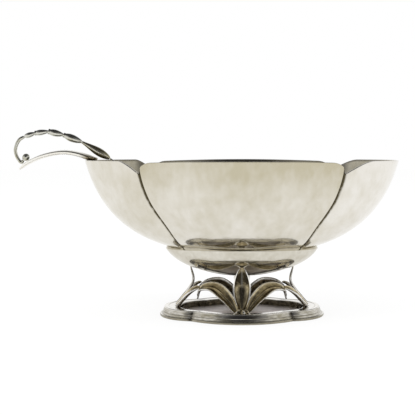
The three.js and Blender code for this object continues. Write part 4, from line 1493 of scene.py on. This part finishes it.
from_seam = calc(husk_rule, "ABSOLUTE", ring_place.outputs["Y"])
seam = remap(husk_rule, from_seam, 0.0, SEAM_WIDTH, 1.0, 0.0)
pinched = calc(husk_rule, "SUBTRACT", 1.0, calc(husk_rule, "MULTIPLY", seam, given["Pinch"]))
ring_form = put(
    husk_rule,
    "ShaderNodeCombineXYZ",
    {
        "X": calc(husk_rule, "MULTIPLY", ring_place.outputs["X"], given["Width To Height"]),
        "Y": calc(husk_rule, "MULTIPLY", ring_place.outputs["Y"], pinched),
    },
)
marked = mark(husk_rule, ring.outputs[0], "seam", seam)
shaped = place_at(husk_rule, marked, ring_form.outputs[0])
husk_mesh = sweep(husk_rule, husk_paths.outputs[0], shaped, {"Scale": husk_radius, "Fill Caps": True})
close_rule(husk_rule, result, husk_mesh, given["Silver"])
print(husk_rule.name, "has", len(husk_rule.nodes), "nodes")

# %% [markdown]
# Five straight guides lie end to end along the handle, with a hair's breadth between
# them for the joints. Each carries its husk's own height, skew, mouth and film.

# %% The husks of the handle
# Joints by distance out from the bowl's left end and up from its rim
JOINTS = ((38.8, 14.8), (32.2, 16.9), (23.7, 18.0), (14.2, 15.8), (2.6, 11.4), (-15.0, 1.0))
HUSK_HEIGHTS = (3.4, 3.7, 4.4, 4.8, 5.2)
HUSK_SKEWS = (0.85, 0.7, 0.75, 0.85, 1.5)
HUSK_MOUTHS = (0.0, 0.8, 0.75, 0.5, 0.0)
HUSK_GOLD = (-1.0, -1.0, -0.5, -0.5, 2.0)
JOINT_GAP = 0.15
JOINT_RADIUS = 0.8
joints = [np.array([-BOWL_LENGTH - out, 0.0, RIM + up]) for out, up in JOINTS]
husk_ends = []
for start, end in zip(joints, joints[1:]):
    step = (end - start) / np.linalg.norm(end - start) * JOINT_GAP
    husk_ends.append(np.array([start + step, end - step]))
handle_silver = silver(
    "ladle_handle_silver",
    clean=(0.58, 0.58, 0.52),
    film=(0.37, 0.33, 0.17),
    dark=(0.05, 0.05, 0.045),
    bright=(0.74, 0.72, 0.64),
    patch=6.0,
    amount=0.85,
    roughness=0.17,
    # The seam mask brightens the husk seams: rubbing and a painted highlight
    edge="seam",
    gathered="golden",
)
husks = grow(
    "husks",
    guide(
        "husk_lines",
        husk_ends,
        half_height=np.repeat(HUSK_HEIGHTS, 2) / 2 * MM,
        skew=np.repeat(HUSK_SKEWS, 2),
        mouth=np.repeat(HUSK_MOUTHS, 2),
        golden=np.repeat(HUSK_GOLD, 2),
    ),
    husk_rule,
    {
        "Sides": 36,
        "Rings": 60,
        "Width To Height": 1.25,
        "Joint Radius": JOINT_RADIUS * MM,
        "Pinch": 0.16,
        "Silver": handle_silver,
    },
)
stand_in_for(husks, "ladle", "ladle_handle_silver", *["leaf_pod_%d" % number for number in range(1, 6)])

# %% [markdown]
# The tendril is drawn wire, bent round into a hook. It swells a little after the first
# husk and thins towards its end, where it meets a cast ball with a small collar. The wire
# is dark outside the bend and rubbed bright inside it, where it slides over the strap.

# %% The tendril and its ball
ball_low, ball_high = node_box("ladle_bead")
ball = (ball_low + ball_high) / 2 - [MIDDLE_X, 0, 0]
ball_radius = (ball_high[2] - ball_low[2]) / 2
TURN = (6.7, 4.7)
HOOK_BOTTOM = (2.9, -3.3)
WIRE = 2.3
WIRE_END = 1.9
WIRE_STEPS = 150
# How far the ball stays inside its collar, as a share, and the collar's angle from the wire
COLLAR_STEP = 0.05
COLLAR_AT = 26
turn = ball + [-TURN[0], 0, TURN[1]]
bottom = ball + [-HOOK_BOTTOM[0], 0, HOOK_BOTTOM[1]]
seat = (bottom - ball) / np.linalg.norm(bottom - ball)
first = joints[0]
wire_path = smooth_curve(
    [
        first + [-0.3, 0, -0.15],
        (first[0] + (turn[0] - first[0]) * 0.6, 0, first[2] - 2.3),
        turn,
        (turn[0] + 1.2, 0, (turn[2] + bottom[2]) / 2 - 0.8),
        bottom,
        ball + seat * (ball_radius + 0.3),
    ],
    WIRE_STEPS,
)
wire_across, wire_up = across_and_up(wire_path, (0, 1, 0))
middle_of_bend = (turn + ball) / 2
wire_rings = []
wire_seam = []
for i, t in enumerate(np.linspace(0, 1, len(wire_path))):
    radius = (WIRE + (WIRE_END - WIRE) * t) / 2 * min(1.0, 0.75 + 3 * t)
    offset = np.cos(circle)[:, None] * wire_across[i] + np.sin(circle)[:, None] * wire_up[i]
    wire_rings.append(wire_path[i] + radius * offset)
    inwards = (middle_of_bend - wire_path[i]) / np.linalg.norm(middle_of_bend - wire_path[i])
    wire_seam.append(np.clip(offset @ inwards, 0, 1) * 0.8)
tendril = skin("tendril_wire", wire_rings, {"seam": np.array(wire_seam)})
finish_with(tendril, handle_silver)
stand_in_for(tendril, "ladle", "ladle_handle_silver", "ladle_tendril")

ball_rings = []
ball_seam = []
side = np.array([0.0, 1.0, 0.0])
third = np.cross(seat, side)
for lean in np.linspace(4, 176, 44):
    off_collar = max(0.0, 1 - 2 * near(lean - COLLAR_AT, 7))
    radius = ball_radius * (1 - COLLAR_STEP * off_collar)
    around = np.cos(circle)[:, None] * side + np.sin(circle)[:, None] * third
    turned = math.cos(math.radians(lean)) * seat + math.sin(math.radians(lean)) * around
    ball_rings.append(ball + radius * turned)
    ball_seam.append(np.full(len(circle), 0.5 * near(lean - COLLAR_AT, 9)))
bead = skin("tendril_ball", ball_rings, {"seam": np.array(ball_seam)})
finish_with(bead, handle_silver)
stand_in_for(bead, "ladle", "ladle_handle_silver", "ladle_bead")

# %% [markdown]
# The photograph was taken on a white sweep in a dim room. So the silver sees white below,
# behind and at both sides, and dark above and straight in front, where the room and the
# camera are. That split is what draws every form here: whatever faces down shines,
# whatever faces up or straight forwards goes dark. The lamps only cast the soft shadow.
#
# The floor is white to the eye, apart from the boat's own shadow.

# %% The floor
GROUND_REACH = 4
GROUND_GLOW = 0.82

floor_corners = [(x * GROUND_REACH, y * GROUND_REACH, 0) for x, y in ((-1, -1), (1, -1), (1, 1), (-1, 1))]
floor_mesh = bpy.data.meshes.new("floor")
floor_mesh.from_pydata(floor_corners, [], [(0, 1, 2, 3)])
floor = bpy.data.objects.new("floor", floor_mesh)
bpy.context.scene.collection.objects.link(floor)
floor_material = bpy.data.materials.new("white_floor")
floor_material.use_nodes = True
tree = floor_material.node_tree
tree.nodes.clear()
rays = put(tree, "ShaderNodeLightPath")
seen = calc(tree, "MAXIMUM", rays.outputs["Is Camera Ray"], rays.outputs["Is Glossy Ray"])
glow_share = calc(tree, "MULTIPLY", seen, GROUND_GLOW)
matt = put(tree, "ShaderNodeBsdfDiffuse", {"Color": (0.95, 0.95, 0.95, 1)})
glow = put(tree, "ShaderNodeEmission", {"Color": (1, 1, 1, 1)})
white = put(tree, "ShaderNodeMixShader", {0: glow_share, 1: matt.outputs[0], 2: glow.outputs[0]})
put(tree, "ShaderNodeOutputMaterial", {0: white.outputs[0]})
floor_mesh.materials.append(floor_material)
print("floor ready")

# %% [markdown]
# The room is one ramp from white to dark. A mirrored ray goes along it as it looks
# further up, or more straight to the front. Every other ray finds plain white.

# %% The room
LOOKING_UP = 0.7
LOOKING_FORWARDS = 1.3
FRONT_STARTS = 0.62
# Places on the ramp, and the brightness there
ROOM_RAMP = ((0.18, (1, 1, 1, 1)), (0.36, (0.4, 0.4, 0.41, 1)), (0.6, (0.035, 0.035, 0.04, 1)))

world = bpy.data.worlds.new("room")
bpy.context.scene.world = world
world.use_nodes = True
tree = world.node_tree
tree.nodes.clear()
coords = put(tree, "ShaderNodeTexCoord")
ray = put(tree, "ShaderNodeSeparateXYZ", {0: coords.outputs["Generated"]})
to_front = calc(tree, "MULTIPLY", ray.outputs["Y"], -1.0)
in_front = calc(tree, "MAXIMUM", calc(tree, "SUBTRACT", to_front, FRONT_STARTS), 0.0)
upwards = calc(tree, "MULTIPLY", ray.outputs["Z"], LOOKING_UP)
towards_room = calc(tree, "ADD", upwards, calc(tree, "MULTIPLY", in_front, LOOKING_FORWARDS))
fade = put(tree, "ShaderNodeValToRGB", {0: towards_room})
ramp = fade.color_ramp.elements
ramp.new(ROOM_RAMP[1][0])
for stop, (position, brightness) in zip(ramp, ROOM_RAMP):
    stop.position = position
    stop.color = brightness
rays = put(tree, "ShaderNodeLightPath")
mirrored = mix_colours(tree, rays.outputs["Is Glossy Ray"], (1, 1, 1, 1), fade.outputs[0])
sky = put(tree, "ShaderNodeBackground", {"Color": mirrored})
put(tree, "ShaderNodeOutputWorld", {0: sky.outputs[0]})
print("room ready")

# %% [markdown]
# Two large soft lamps hang over the boat, in front of it to its left and right. They
# aren't seen in the silver.

# %% The lamps
LAMP_SIZE = 0.8
LAMP_TARGET = Vector((0, 0, 0.06))


def lamp(name, place, power):
    data = bpy.data.lights.new(name, "AREA")
    data.shape = "RECTANGLE"
    data.size = LAMP_SIZE
    data.size_y = LAMP_SIZE
    data.energy = power
    light = bpy.data.objects.new(name, data)
    light.location = place
    light.rotation_euler = (LAMP_TARGET - Vector(place)).to_track_quat("-Z", "Y").to_euler()
    light.visible_glossy = False
    bpy.context.scene.collection.objects.link(light)
    print(name, "gives", power, "watts")


lamp("key_soft", (-0.9, -0.7, 1.3), 8)
lamp("fill_soft", (1.1, -0.5, 1.2), 6)

# %% [markdown]
# The camera looks level and square at the boat from half a metre, a little above its rim.
# The photograph is a crop of a wider one, so the picture is shifted and not turned.

# %% The camera
PHOTO = 415
FOCAL_PX = 830.0
DISTANCE = 523.0
CAMERA_HEIGHT = 102.8
CENTRE_PX = (241.9, 150.9)
SENSOR = 36

camera_data = bpy.data.cameras.new("camera")
camera = bpy.data.objects.new("camera", camera_data)
bpy.context.scene.collection.objects.link(camera)
bpy.context.scene.camera = camera
camera_data.sensor_width = SENSOR
camera_data.lens = SENSOR * FOCAL_PX / PHOTO
camera_data.shift_x = -(CENTRE_PX[0] - PHOTO / 2) / PHOTO
camera_data.shift_y = -(PHOTO / 2 - CENTRE_PX[1]) / PHOTO
camera.location = (MIDDLE_X * MM, -DISTANCE * MM, CAMERA_HEIGHT * MM)
camera.rotation_euler = (math.pi / 2, 0, 0)
bpy.context.scene.view_settings.view_transform = "Standard"
print("camera ready")
